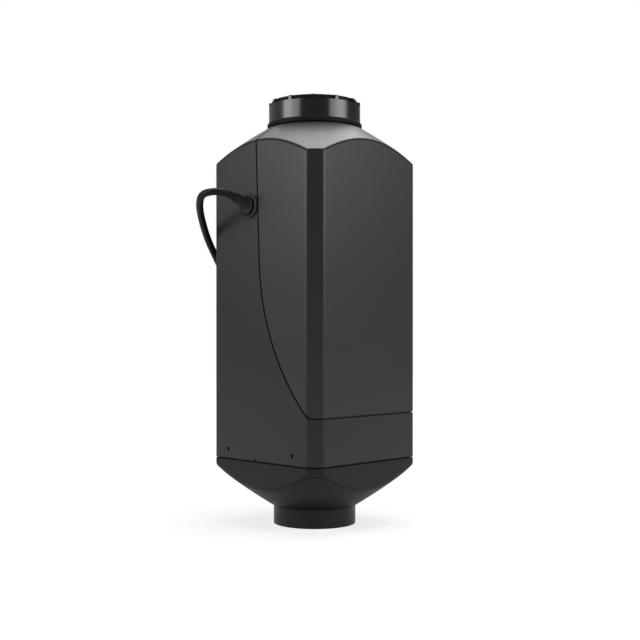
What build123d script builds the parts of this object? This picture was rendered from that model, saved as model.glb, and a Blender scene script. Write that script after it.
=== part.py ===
from build123d import *
import os
from math import cos, pi, radians, sin, sqrt, tan

# Diesel air heater, standing on its warm-air outlet. Millimetres, +Z up.
# The origin is the centre of the outlet spigot's end. +X is the removable cover's face,
# -Y the face with the cable grommet, -X the mounting foot with the gas and fuel pipes.

os.makedirs("parts", exist_ok=True)

# ---------------------------------------------------------------- driving sizes
# Clearances
fit_gap = 0.35            # between plastic shells that slide past each other
seat_gap = 0.4            # under a piece that lifts off
press_gap = 0.02          # round a piece that is pressed or screwed in
running_gap = 0.05        # between shaft and bearing
air_gap = 1.2             # round whatever turns
overrun = 1.0             # how far a cut or a rib runs into what it meets

# Casing
body_width = 138.5
corner_leg = 10.5
corner_edge_radius = 4.0
least_edge_radius = 0.4
wall = 2.5
seam_gap = 1.6
lip_thickness = 2.0
lip_reach = 5.0

# Outlet hood and spigot
spigot_radius = 37.75
spigot_wall = 2.5
spigot_length = 16.5
hood_seam_height = 61.0
hood_corner_drop = 7.4    # from the seam to where the cone meets the corner flat
hood_arc_radius = 481.0
hood_crease_radius = 5.0
hood_lip_height = 8.0

# Shoulder and cover
shoulder_height = 330.3   # where the dome meets the corner flat
dome_rise = 32.7
dome_ledge = 2.7          # from the neck to where the dome starts
dome_arc_radius = 500.0
dome_edge_radius = 3.2
cover_bottom_height = 102.3
parting_bend_radius = 198.0
parting_corner_radius = 9.2
parting_turn_degrees = 45.0
parting_lean_degrees = 2.2  # of the seam above the bend

# Inlet: fan shroud with its neck, and the lift-off cap
neck_radius = 39.3
neck_wall = 2.0
neck_root_drop = 7.0      # below the dome's top
shroud_radius = 50.0
shroud_wall = 2.0
shroud_bend_drop = 16.0
shroud_arm_count = 5
shroud_arm_width = 4.0
shroud_arm_height = 2.5
shroud_hub_radius = 14.0
cap_wall = 2.5
cap_height = 24.1
cap_top_thickness = 2.0
cap_top_edge_radius = 1.0
cap_flange_reach = 1.5
cap_flange_height = 4.0
cap_flange_chamfer = 0.9
cap_rib_count = 12
cap_rib_width = 3.0
cap_rib_start_degrees = -47.0
cap_recess_height = 4.0   # of the grips between the ribs of the rim
cap_recess_depth = 2.6
cap_shelf_thickness = 3.1 # under the grips
cap_ring_radius = 25.5
cap_hub_radius = 13.0
cap_rim_width = 4.6

# Heat exchanger
core_ledge = 8.0          # the joint's face stands out this far from the core
core_wall = 6.0
core_floor_thickness = 6.0
core_clearance = 5.0      # above the hood's seam
core_edge_radius = 8.0
fin_count = 25
fin_free_degrees = 96.0   # the foot's side has no fins
fin_thickness = 2.2
fin_clearance = 4.75      # from the fins' ends to the casing
fin_corner_leg = 14.0
fin_bottom_gap = 10.0
fin_top_gap = 3.0
head_clearance = 16.75    # from burner and blower to the casing
head_ledge = 2.0
joint_flange_thickness = 8.0

# Mounting foot
foot_drop = 33.0          # from the exchanger's top to the foot's middle
foot_ledge = 5.5
foot_boss_width = 69.0
foot_boss_height = 105.0
foot_boss_reach = 4.25
foot_flange_thickness = 5.25
foot_corner_radius = 6.0
foot_gasket_thickness = 4.0
plenum_width = 32.0
plenum_margin = 16.0      # below the exhaust's axis
stud_radius = 3.0
stud_margin = 9.5
stud_reach = 17.5
stud_engagement = 9.0
stud_chamfer = 0.6
exhaust_drop = 30.0       # heights of the pipe ends, from the foot's middle
air_intake_rise = 15.0
fuel_pipe_drop = 8.0
exhaust_radius = 12.0
air_intake_radius = 12.5
stub_wall = 1.5
stub_reach = 26.5
stub_engagement = 9.0
seated_step = 0.3         # the seated end of a stub or stud is this much smaller
gas_port_radius = 10.0
air_channel_radius = 6.0
air_channel_margin = 7.0
air_ear_width = 24.0
air_ear_clearance = 5.75
ear_corner_radius = 5.0

# Burner
gasket_thickness = 1.5
burner_head_height = 13.5
burner_floor_thickness = 3.0
burner_cavity_radius = 24.0
burner_hole_count = 12
burner_hole_radius = 2.2
burner_hole_circle_radius = 19.5
flame_tube_radius = 27.5
flame_tube_wall = 1.5
flame_tube_length = 100.0
evaporator_radius = 14.0
evaporator_thickness = 4.0
fuel_pipe_radius = 2.0
fuel_pipe_bore_radius = 1.2
fuel_pipe_offset = 21.0
fuel_pipe_reach = 22.0
fuel_pipe_clearance = 12.35
fuel_pipe_bend_radius = 7.0
fuel_pipe_end_radius = 14.0
fuel_hose_length = 12.0   # from the pipe's end to its bead
fuel_bead_radius = 2.6
fuel_bead_width = 1.5
glow_plug_radius = 4.0
glow_plug_tip_radius = 2.4
glow_plug_tip_reach = 11.0
glow_plug_hex_width = 10.0
glow_plug_hex_length = 5.0
glow_plug_terminal_radius = 2.2
glow_plug_terminal_length = 4.5

# Blower and motor
blower_gasket_thickness = 1.0
blower_height = 24.0
blower_floor_thickness = 3.0
blower_cover_thickness = 3.0
blower_port_radius = 5.5
blower_port_offset = 16.0
impeller_tip_gap = 4.0
impeller_disc_thickness = 2.0
impeller_blade_height = 10.0
impeller_blade_count = 16
impeller_hub_radius = 8.0
blade_thickness = 1.6
motor_radius = 26.0
motor_wall = 1.6
motor_length = 56.0
motor_floor_thickness = 2.5
motor_flange_width = 7.0
motor_flange_thickness = 2.0
motor_cap_thickness = 3.0
armature_end_gap = 2.25
armature_slot_count = 12
armature_slot_depth = 6.65
magnet_thickness = 4.0
magnet_count = 4
commutator_radius = 8.5
commutator_length = 5.0
shaft_radius = 3.0
bearing_radius = 8.0
bearing_width = 6.0
bearing_boss_wall = 3.0
terminal_block_width = 12.0
terminal_block_depth = 6.0

# Warm-air fan
fan_tip_gap = 2.0
fan_head_gap = 6.3        # up to the shroud's bend
fan_hub_radius = 18.0
fan_height = 22.0
fan_blade_count = 9
fan_blade_sweep = 11.0
fan_blade_margin = 1.5
fan_nose_height = 9.0
fan_nose_bulge = 6.6
shaft_end_margin = 4.0

# Clamp bolts, motor screws
clamp_bolt_inset = 5.0
clamp_bolt_radius = 2.5
clamp_bolt_wall = 2.5     # left between the bolt and the blower's cavity
clamp_bolt_head_radius = 4.2
clamp_bolt_head_height = 4.0
clamp_bolt_socket_radius = 2.0
clamp_bolt_grip = 6.0
motor_screw_radius = 1.5
motor_screw_head_radius = 2.8
motor_screw_head_height = 2.0

# Control unit and its bracket
bracket_thickness = 1.5
bracket_width = 28.0
bracket_gap = 2.0
bracket_margin = 10.0
control_clearance = 4.75
control_depth = 11.0
control_lid_thickness = 2.0
control_width = 80.0
control_height = 50.0
control_base_lift = 3.0
control_wall = 2.0
control_corner_radius = 3.0
board_thickness = 1.6
board_stand_height = 4.0
board_post_radius = 1.6
board_post_spacing = 48.0
board_margin = 1.5
board_part_height = 2.2
relay_width = 14.0
relay_height = 11.0
processor_width = 11.0
capacitor_radius = 4.0
capacitor_spacing = 16.0
lid_screw_radius = 1.4
lid_screw_head_radius = 2.4
lid_screw_head_height = 1.4
lid_screw_inset = 5.0
plug_depth = 8.0
plug_width = 7.0
plug_height = 24.0
header_height = 4.0
header_depth = 7.0
header_width = 44.0

# Overheat sensor on its pad
sensor_drop = 29.0        # from the exchanger's top
sensor_pad_thickness = 6.0
sensor_pad_width = 24.0
sensor_pad_height = 26.0
sensor_width = 12.0
sensor_corner_radius = 2.0
sensor_thickness = 6.0
clip_thickness = 1.0
clip_height = 6.0
clip_margin = 1.0
sensor_bay_margin = 3.0

# Cable, its grommet and connector
grommet_offset = 13.0
grommet_drop = 42.6       # from the shoulder
grommet_hole_radius = 8.5
grommet_flange_radius = 11.4
grommet_flange_thickness = 1.9
grommet_edge_radius = 1.2
grommet_back_radius = 10.6
grommet_back_thickness = 1.8
grommet_collar_radius = 7.2
grommet_collar_height = 3.8
grommet_groove_width = 0.9 # round the collar
grommet_groove_depth = 1.1
boot_root_radius = 5.8
boot_tip_radius = 4.4
boot_length = 16.9
boot_direction = (-0.148, -0.903, 0.403)
cable_diameter = 6.5
first_run = 13.0
lead_radius = 1.3
lead_run = 7.0            # how far a lead runs straight from its terminal
glow_pin_offset = 8.0     # where the leads leave the header, from its middle
sensor_pin_offset = 12.0
motor_pin_offset = 18.0
sensor_lead_bow = 3.5
sensor_lead_rise = 9.5
motor_lead_clearance = 9.0
harness_radius = 3.0
harness_run = 11.0
connector_width = 26.0
connector_depth = 13.0
connector_body_height = 18.6
connector_neck_height = 9.4
connector_neck_width = 18.7
connector_neck_depth = 10.4
connector_corner_radius = 1.5
connector_rim = 1.5
connector_mouth_depth = 9.3
connector_pin_radius = 0.8
connector_pin_spacing = 4.0
connector_pin_rows = 2
connector_pin_columns = 5
connector_latch_width = 8.6
connector_latch_depth = 3.0
connector_latch_height = 14.0
connector_latch_rise = 4.0

# Snap windows of the hood, on both side faces
snap_spacing = 83.0
snap_width = 3.6
snap_height = 5.0
snap_rise = 10.4          # above the hood's seam
pry_notch_radius = 1.6
pry_notch_offset = 5.0

# The cable's route after its first run; it leaves the boot, folds over and hangs down
# behind the casing, beside the mounting foot
cable_route = [
    (-24.6, -105.6, 300.6),
    (-36.4, -108.8, 298.2),
    (-48.4, -103.4, 290.6),
    (-59.2, -89.6, 279.4),
    (-67.8, -73.2, 264.6),
    (-74.2, -58.6, 247.0),
    (-77.6, -49.0, 226.0),
    (-78.4, -45.6, 203.0),
    (-78.8, -44.4, 180.0),
    (-79.4, -45.6, 158.0),
    (-79.4, -44.6, 136.0),
    (-78.8, -39.5, 115.0),
    (-78.5, -32.0, 96.0),
    (-78.5, -32.0, 77.0),
]

# ---------------------------------------------------------------- derived places
half_width = body_width / 2
inner_face = half_width - wall
far = 2 * body_width      # longer than anything it cuts
corner_reach = sqrt(2) * (half_width - corner_leg / 2)
outer_reach = 1.5 * half_width
shell_bottom = hood_seam_height + seam_gap / 2
hood_top = hood_seam_height - seam_gap / 2
hood_corner_height = hood_seam_height - hood_corner_drop
snap_top_height = hood_seam_height + snap_rise

dome_top_height = shoulder_height + dome_rise
dome_top_radius = neck_radius + dome_ledge
neck_hole_radius = neck_radius + fit_gap
neck_root_height = dome_top_height - neck_root_drop
cap_bottom_height = dome_top_height + seat_gap
cap_top_height = cap_bottom_height + cap_height
cap_guard_bottom = cap_top_height - cap_top_thickness
cap_recess_bottom = cap_top_height - cap_recess_height
cap_shelf_bottom = cap_recess_bottom - cap_shelf_thickness
cap_inner_radius = neck_radius + fit_gap
cap_radius = cap_inner_radius + cap_wall
cap_throat_radius = cap_radius - cap_rim_width
neck_top_height = cap_shelf_bottom - seat_gap

# The fan, motor, blower and burner stack up under the shroud; the exchanger takes what is left
shroud_bend_height = dome_top_height - shroud_bend_drop
fan_radius = shroud_radius - shroud_wall - fan_tip_gap
fan_top = shroud_bend_height - fan_head_gap
fan_bottom = fan_top - fan_height
motor_cap_top = fan_bottom - air_gap - shroud_arm_height
shroud_bottom_height = motor_cap_top
motor_top = motor_cap_top - motor_cap_thickness
motor_bottom = motor_top - motor_length
blower_top = motor_bottom - blower_cover_thickness
blower_bottom = blower_top - blower_height
burner_top = blower_bottom - blower_gasket_thickness
burner_bottom = burner_top - burner_head_height
exchanger_top_height = burner_bottom - gasket_thickness

head_radius = inner_face - head_clearance
core_radius = head_radius - core_ledge
core_bore_radius = core_radius - core_wall
core_bottom_height = hood_seam_height + core_clearance
fin_bottom_height = core_bottom_height + fin_bottom_gap
fin_top_height = exchanger_top_height - joint_flange_thickness - fin_top_gap
fin_square = 2 * (inner_face - fin_clearance)
foot_centre_height = exchanger_top_height - foot_drop
foot_width = foot_boss_width + 2 * foot_ledge
foot_height = foot_boss_height + 2 * foot_ledge
foot_face = half_width + foot_boss_reach
foot_inner_face = inner_face - foot_flange_thickness
gasket_face = foot_face + foot_gasket_thickness
stud_spacing_y = foot_boss_width - 2 * stud_margin
stud_spacing_z = foot_boss_height - 2 * stud_margin
exhaust_height = foot_centre_height - exhaust_drop
air_intake_height = foot_centre_height + air_intake_rise
fuel_pipe_height = foot_centre_height - fuel_pipe_drop
fuel_pipe_riser = inner_face - fuel_pipe_clearance
plenum_bottom_height = exhaust_height - plenum_margin
air_ear_reach = inner_face - air_ear_clearance
air_channel_reach = air_ear_reach - air_channel_margin

plug_axis_height = (burner_bottom + burner_floor_thickness + burner_top) / 2
clamp_bolt_circle_radius = head_radius - clamp_bolt_inset
blower_cavity_radius = clamp_bolt_circle_radius - clamp_bolt_radius - clamp_bolt_wall
cavity_floor = blower_bottom + blower_floor_thickness
air_duct_height = (cavity_floor + blower_top) / 2
air_duct_radius = air_channel_radius - overrun
impeller_radius = blower_cavity_radius - impeller_tip_gap
impeller_bottom = cavity_floor + air_gap
motor_flange_radius = motor_radius + motor_flange_width
motor_screw_circle_radius = motor_radius + motor_flange_width / 2
lower_bearing_bottom = motor_bottom + motor_floor_thickness
upper_bearing_bottom = motor_top - bearing_width
magnet_outer_radius = motor_radius - motor_wall - press_gap
magnet_inner_radius = magnet_outer_radius - magnet_thickness
armature_radius = magnet_inner_radius - air_gap
armature_bottom = lower_bearing_bottom + bearing_width + armature_end_gap
armature_top = upper_bearing_bottom - armature_end_gap - commutator_length
armature_length = armature_top - armature_bottom

control_front = inner_face - control_clearance - control_lid_thickness
control_back = control_front - control_depth
control_bottom = motor_bottom + control_base_lift
control_top = control_bottom + control_height
control_middle = (control_bottom + control_top) / 2
control_inside = control_back + control_wall
board_back = control_inside + board_stand_height
bracket_inner_reach = motor_flange_radius + bracket_gap
header_x = control_back + control_depth / 2
header_bottom = control_bottom - header_height
plug_face = control_width / 2 + plug_depth
sensor_height = exchanger_top_height - sensor_drop
sensor_pad_reach = core_radius + sensor_pad_thickness
sensor_x = sensor_pad_reach + sensor_thickness / 2
sensor_top = sensor_height + sensor_width / 2
glow_terminal_x = head_radius + glow_plug_hex_length + glow_plug_terminal_length / 2
glow_terminal_top = plug_axis_height + glow_plug_terminal_radius
terminal_face = motor_radius + terminal_block_depth
terminal_height = motor_cap_top - (motor_cap_thickness + terminal_block_depth) / 2
grommet_x = -grommet_offset
grommet_height = shoulder_height - grommet_drop
grommet_back = inner_face - grommet_back_thickness


# ---------------------------------------------------------------- shared outlines
def arc_centre(start, end, radius):
    """Centre of the arc of this radius between two profile points, on the axis's side."""
    chord = Vector(*end) - Vector(*start)
    middle = (Vector(*start) + Vector(*end)) * 0.5
    across = Vector(-chord.Y, chord.X).normalized()
    if across.X > 0:
        across = across * -1
    return middle + across * sqrt(radius**2 - (chord.length / 2) ** 2)


dome_centre = arc_centre(
    (dome_top_radius, dome_top_height), (corner_reach, shoulder_height), dome_arc_radius
)
hood_centre = arc_centre(
    (spigot_radius, spigot_length), (corner_reach, hood_corner_height), hood_arc_radius
)


def dome_height(radius, inset=0.0):
    """Height of the shoulder at this distance from the axis, this far under its surface."""
    return dome_centre.Y + sqrt((dome_arc_radius - inset) ** 2 - (radius - dome_centre.X) ** 2)


def hood_height(radius, inset=0.0):
    """Height of the hood's cone at this distance from the axis, this far inside it."""
    return hood_centre.Y - sqrt((hood_arc_radius - inset) ** 2 - (radius - hood_centre.X) ** 2)


def casing_section(inset):
    """The casing's square with cut corners, drawn this far inside its outer face."""
    with BuildSketch() as section:
        Rectangle(body_width - 2 * inset, body_width - 2 * inset)
        chamfer(section.vertices(), corner_leg - inset * (2 - sqrt(2)))
        fillet(section.vertices(), max(corner_edge_radius - inset, least_edge_radius))
    return section.sketch


def casing_form(inset, low, edge_radius=0.0):
    """The casing as a solid, from the height low up to the shoulder's flat top."""
    middle = (dome_top_radius + outer_reach) / 2
    with BuildPart() as form:
        with BuildSketch(Plane.XY.offset(low)):
            add(casing_section(inset))
        extrude(amount=dome_top_height - low)
        with BuildSketch(Plane.XZ):
            with BuildLine():
                dome = ThreePointArc(
                    (dome_top_radius, dome_height(dome_top_radius, inset)),
                    (middle, dome_height(middle, inset)),
                    (outer_reach, dome_height(outer_reach, inset)),
                )
                Polyline(dome @ 1, (outer_reach, low), (0, low), (0, (dome @ 0).Y), dome @ 0)
            make_face()
        revolve(axis=Axis.Z, mode=Mode.INTERSECT)
        if edge_radius:
            crests = form.edges().filter_by_position(
                Axis.Z, shoulder_height - wall, dome_height(half_width) + wall
            )
            fillet(crests.filter_by(GeomType.LINE, reverse=True), edge_radius)
    return form.part


def side_cut(region):
    """A face drawn in the XZ plane, run right through the casing along Y."""
    with BuildPart() as cutter:
        with BuildSketch(Plane.XZ):
            add(region)
        extrude(amount=body_width, both=True)
    return cutter.part


def cover_region(growth):
    """The side view of the cover's share of the casing, grown by this much."""
    lean = radians(parting_lean_degrees)
    turn = radians(parting_turn_degrees)
    bend_height = (
        cover_bottom_height
        + parting_corner_radius * (1 - cos(turn))
        + parting_bend_radius * (sin(turn) - sin(lean))
    )
    high = dome_top_height + wall
    with BuildSketch() as region:
        with BuildLine():
            seam = Line(((bend_height - high) * tan(lean), high), (0, bend_height))
            bend = JernArc(
                seam @ 1,
                seam % 1,
                parting_bend_radius,
                parting_turn_degrees - parting_lean_degrees,
            )
            corner = JernArc(
                bend @ 1, bend % 1, parting_corner_radius, 90 - parting_turn_degrees
            )
            Polyline(corner @ 1, (far, (corner @ 1).Y), (far, high), seam @ 0)
        make_face()
        if growth:
            offset(amount=growth, kind=Kind.INTERSECTION)
    return region.sketch


def disc_outline(radius):
    """The round joint face of burner and blower, with the ear of the air channel."""
    with BuildSketch() as outline:
        Circle(radius)
        with Locations((-air_ear_reach / 2, 0)):
            Rectangle(air_ear_reach, air_ear_width)
        ends = outline.vertices().group_by(Axis.X)[0]
        fillet(ends, ear_corner_radius)
    return outline.sketch


def clamp_places():
    """The four clamp bolts, between the faces of the casing."""
    return PolarLocations(clamp_bolt_circle_radius, 4, start_angle=45)


def motor_screw_places():
    """The three screws through the motor's flange."""
    return PolarLocations(motor_screw_circle_radius, 3, start_angle=60)


def turns_and_runs(points):
    """Run lengths of a route, and the angle of its turn at each inner point."""
    ways = [Vector(*b) - Vector(*a) for a, b in zip(points, points[1:])]
    turns = [radians(a.get_angle(b)) for a, b in zip(ways, ways[1:])]
    return [way.length for way in ways], turns


def largest_radii(points):
    """Bend radii as large as the runs beside each corner allow."""
    runs, turns = turns_and_runs(points)
    return [0.45 * min(a, b) / tan(turn / 2) for a, b, turn in zip(runs, runs[1:], turns)]


def route_line(points):
    """Straight runs joined by tangent arcs."""
    with BuildLine() as path:
        FilletPolyline(*points, radius=largest_radii(points))
    return path.line


def tube_along(points, radius):
    """A round lead along a route."""
    path = route_line(points)
    with BuildPart() as tube:
        with BuildSketch(Plane(path @ 0, z_dir=path % 0)):
            Circle(radius)
        sweep(path=path)
    return tube.part


def finish(part, name):
    """Label a piece and write it to its own file."""
    part.label = name
    export_step(part, f"parts/{name}.step")


# ---------------------------------------------------------------- casing shells
with BuildPart() as casing:
    add(casing_form(0, shell_bottom, dome_edge_radius))
    add(casing_form(wall, shell_bottom), mode=Mode.SUBTRACT)
    with BuildSketch(Plane.XY.offset(shell_bottom)):
        Circle(neck_hole_radius)
    extrude(amount=dome_top_height, mode=Mode.SUBTRACT)

with BuildPart() as cover_shell:
    add(casing.part)
    add(side_cut(cover_region(-seam_gap / 2)), mode=Mode.INTERSECT)
finish(cover_shell.part, "cover_shell")

# The lip stands behind the seam and steadies the cover's edge
with BuildPart() as seam_lip:
    add(casing_form(wall + fit_gap, shell_bottom))
    add(casing_form(wall + lip_thickness, shell_bottom), mode=Mode.SUBTRACT)
    add(side_cut(cover_region(lip_reach)), mode=Mode.INTERSECT)
    add(side_cut(cover_region(-lip_reach)), mode=Mode.SUBTRACT)

with BuildPart() as lip_root:
    add(casing_form(wall, shell_bottom))
    add(casing_form(wall + lip_thickness, shell_bottom), mode=Mode.SUBTRACT)
    add(side_cut(cover_region(lip_reach)), mode=Mode.INTERSECT)
    add(side_cut(cover_region(seam_gap / 2)), mode=Mode.SUBTRACT)

with BuildPart() as lower_shell:
    add(casing.part)
    add(side_cut(cover_region(seam_gap / 2)), mode=Mode.SUBTRACT)
    add(lip_root.part)
    add(seam_lip.part)
    with BuildSketch(Plane.XY.offset(shell_bottom)):
        Circle(neck_hole_radius)
    extrude(amount=dome_top_height, mode=Mode.SUBTRACT)
    # Window for the mounting foot
    with BuildSketch(Plane.YZ):
        with Locations((0, foot_centre_height)):
            RectangleRounded(
                foot_boss_width + 2 * fit_gap, foot_boss_height + 2 * fit_gap, foot_corner_radius
            )
    extrude(amount=-body_width, mode=Mode.SUBTRACT)
    # Grommet hole, and a pocket for the grommet's back flange
    with BuildSketch(Plane.XZ):
        with Locations((grommet_x, grommet_height)):
            Circle(grommet_hole_radius)
    extrude(amount=body_width, mode=Mode.SUBTRACT)
    with BuildSketch(Plane.XZ):
        with Locations((grommet_x, grommet_height)):
            Circle(grommet_back_radius + fit_gap)
    extrude(amount=inner_face, mode=Mode.SUBTRACT)
    # Snap windows of the hood, and the notch where a blade parts hood and shell
    with BuildSketch(Plane.XZ):
        with Locations((-snap_spacing / 2, snap_top_height), (snap_spacing / 2, snap_top_height)):
            Polygon(
                (-snap_width / 2, 0), (snap_width / 2, 0), (0, -snap_height), align=None
            )
        with Locations((-pry_notch_offset, shell_bottom)):
            Circle(pry_notch_radius)
    extrude(amount=body_width, both=True, mode=Mode.SUBTRACT)
finish(lower_shell.part, "lower_shell")


# ---------------------------------------------------------------- outlet hood
def hood_form(inset, high, crease_radius=0.0):
    """The hood as a solid up to the height high, this far inside its outer face."""
    inner = spigot_radius - inset
    middle = (inner + outer_reach) / 2
    with BuildPart() as form:
        with BuildSketch():
            add(casing_section(inset))
        extrude(amount=high)
        with BuildSketch(Plane.XZ):
            with BuildLine():
                cone = ThreePointArc(
                    (inner, hood_height(inner, inset)),
                    (middle, hood_height(middle, inset)),
                    (outer_reach, hood_height(outer_reach, inset)),
                )
                Polyline(cone @ 1, (outer_reach, far), (0, far), (0, (cone @ 0).Y), cone @ 0)
            make_face()
        revolve(axis=Axis.Z, mode=Mode.INTERSECT)
        if crease_radius:
            creases = form.edges().filter_by_position(
                Axis.Z, hood_height(half_width) - wall, hood_height(corner_reach) + overrun
            )
            fillet(creases.filter_by(GeomType.LINE, reverse=True), crease_radius)
    return form.part


with BuildPart() as outlet_hood:
    add(hood_form(0, hood_top, hood_crease_radius))
    add(hood_form(wall, hood_top), mode=Mode.SUBTRACT)
    with BuildSketch():
        Circle(spigot_radius)
    extrude(amount=spigot_length + wall)
    # Lip that snaps into the shells
    with BuildSketch(Plane.XY.offset(hood_top - hood_lip_height / 2)):
        add(casing_section(wall))
        add(casing_section(wall + lip_thickness), mode=Mode.SUBTRACT)
    extrude(amount=hood_lip_height / 2)
    with BuildSketch(Plane.XY.offset(hood_top - hood_lip_height / 2)):
        add(casing_section(wall + fit_gap))
        add(casing_section(wall + lip_thickness), mode=Mode.SUBTRACT)
    extrude(amount=1.5 * hood_lip_height)
    with BuildSketch():
        Circle(spigot_radius - spigot_wall)
    extrude(amount=hood_seam_height, mode=Mode.SUBTRACT)
finish(outlet_hood.part, "outlet_hood")

# ---------------------------------------------------------------- fan shroud and cap
with BuildPart() as fan_shroud:
    with BuildSketch(Plane.XZ):
        with BuildLine():
            Polyline(
                (neck_radius, neck_top_height),
                (neck_radius, neck_root_height),
                (shroud_radius, shroud_bend_height),
                (shroud_radius, shroud_bottom_height),
                (shroud_radius - shroud_wall, shroud_bottom_height),
                (shroud_radius - shroud_wall, shroud_bend_height - shroud_wall / 2),
                (neck_radius - neck_wall, neck_root_height - neck_wall),
                (neck_radius - neck_wall, neck_top_height),
                close=True,
            )
        make_face()
    revolve(axis=Axis.Z)
    # Flange under the shoulder
    with BuildSketch(
        Plane.XY.offset(dome_height(dome_top_radius, wall + lip_thickness) - fit_gap)
    ):
        Circle(dome_top_radius)
        Circle(neck_radius - neck_wall, mode=Mode.SUBTRACT)
    extrude(amount=-shroud_wall)
    # Arms that stand on the motor's cap
    with BuildSketch(Plane.XY.offset(motor_cap_top)):
        Circle(shroud_hub_radius + shroud_arm_width)
        with PolarLocations((shroud_radius + shroud_hub_radius) / 2, shroud_arm_count):
            Rectangle(shroud_radius - shroud_hub_radius - shroud_wall / 2, shroud_arm_width)
        Circle(shroud_hub_radius, mode=Mode.SUBTRACT)
    extrude(amount=shroud_arm_height)
finish(fan_shroud.part, "fan_shroud")

with BuildPart() as inlet_cap:
    with BuildSketch(Plane.XY.offset(cap_bottom_height)):
        Circle(cap_radius)
    extrude(amount=cap_top_height - cap_bottom_height)
    fillet(inlet_cap.edges().sort_by(Axis.Z)[-1], cap_top_edge_radius)
    with BuildSketch(Plane.XY.offset(cap_bottom_height)):
        Circle(cap_radius + cap_flange_reach)
    extrude(amount=cap_flange_height)
    flange_rims = inlet_cap.edges().filter_by(GeomType.CIRCLE).group_by(Axis.Z)[1]
    chamfer(flange_rims.sort_by(SortBy.LENGTH)[-1], cap_flange_chamfer)
    with BuildSketch(Plane.XY.offset(cap_bottom_height)):
        Circle(cap_inner_radius)
    extrude(amount=cap_shelf_bottom - cap_bottom_height, mode=Mode.SUBTRACT)
    with BuildSketch(Plane.XY.offset(cap_shelf_bottom)):
        Circle(cap_throat_radius)
    extrude(amount=cap_guard_bottom - cap_shelf_bottom, mode=Mode.SUBTRACT)
    # Grips between the ribs of the rim
    with BuildSketch(Plane.XY.offset(cap_recess_bottom)):
        Circle(cap_radius + cap_wall)
        Circle(cap_radius - cap_recess_depth, mode=Mode.SUBTRACT)
        with PolarLocations(cap_radius, cap_rib_count, start_angle=cap_rib_start_degrees):
            Rectangle(6 * cap_wall, cap_rib_width, mode=Mode.SUBTRACT)
    extrude(amount=cap_recess_height, mode=Mode.SUBTRACT)
    # Finger guard: rings and ribs across the inlet
    with BuildSketch(Plane.XY.offset(cap_guard_bottom)):
        Circle(cap_throat_radius)
        Circle(cap_hub_radius, mode=Mode.SUBTRACT)
        with BuildSketch(mode=Mode.SUBTRACT):
            Circle(cap_ring_radius + cap_rib_width / 2)
            Circle(cap_ring_radius - cap_rib_width / 2, mode=Mode.SUBTRACT)
        with PolarLocations(cap_radius / 2, cap_rib_count, start_angle=cap_rib_start_degrees):
            Rectangle(cap_radius, cap_rib_width, mode=Mode.SUBTRACT)
    extrude(amount=cap_top_thickness, mode=Mode.SUBTRACT)
finish(inlet_cap.part, "inlet_cap")

# ---------------------------------------------------------------- heat exchanger
with BuildSketch() as fins:
    Circle(core_radius)
    with PolarLocations(
        body_width / 2,
        fin_count,
        start_angle=fin_free_degrees / 2 - 180,
        angular_range=360 - fin_free_degrees,
        endpoint=True,
    ):
        Rectangle(body_width - 2 * (core_bore_radius + overrun), fin_thickness)
    with BuildSketch(mode=Mode.INTERSECT) as fin_limit:
        Rectangle(fin_square, fin_square)
        chamfer(fin_limit.vertices(), fin_corner_leg)

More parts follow.
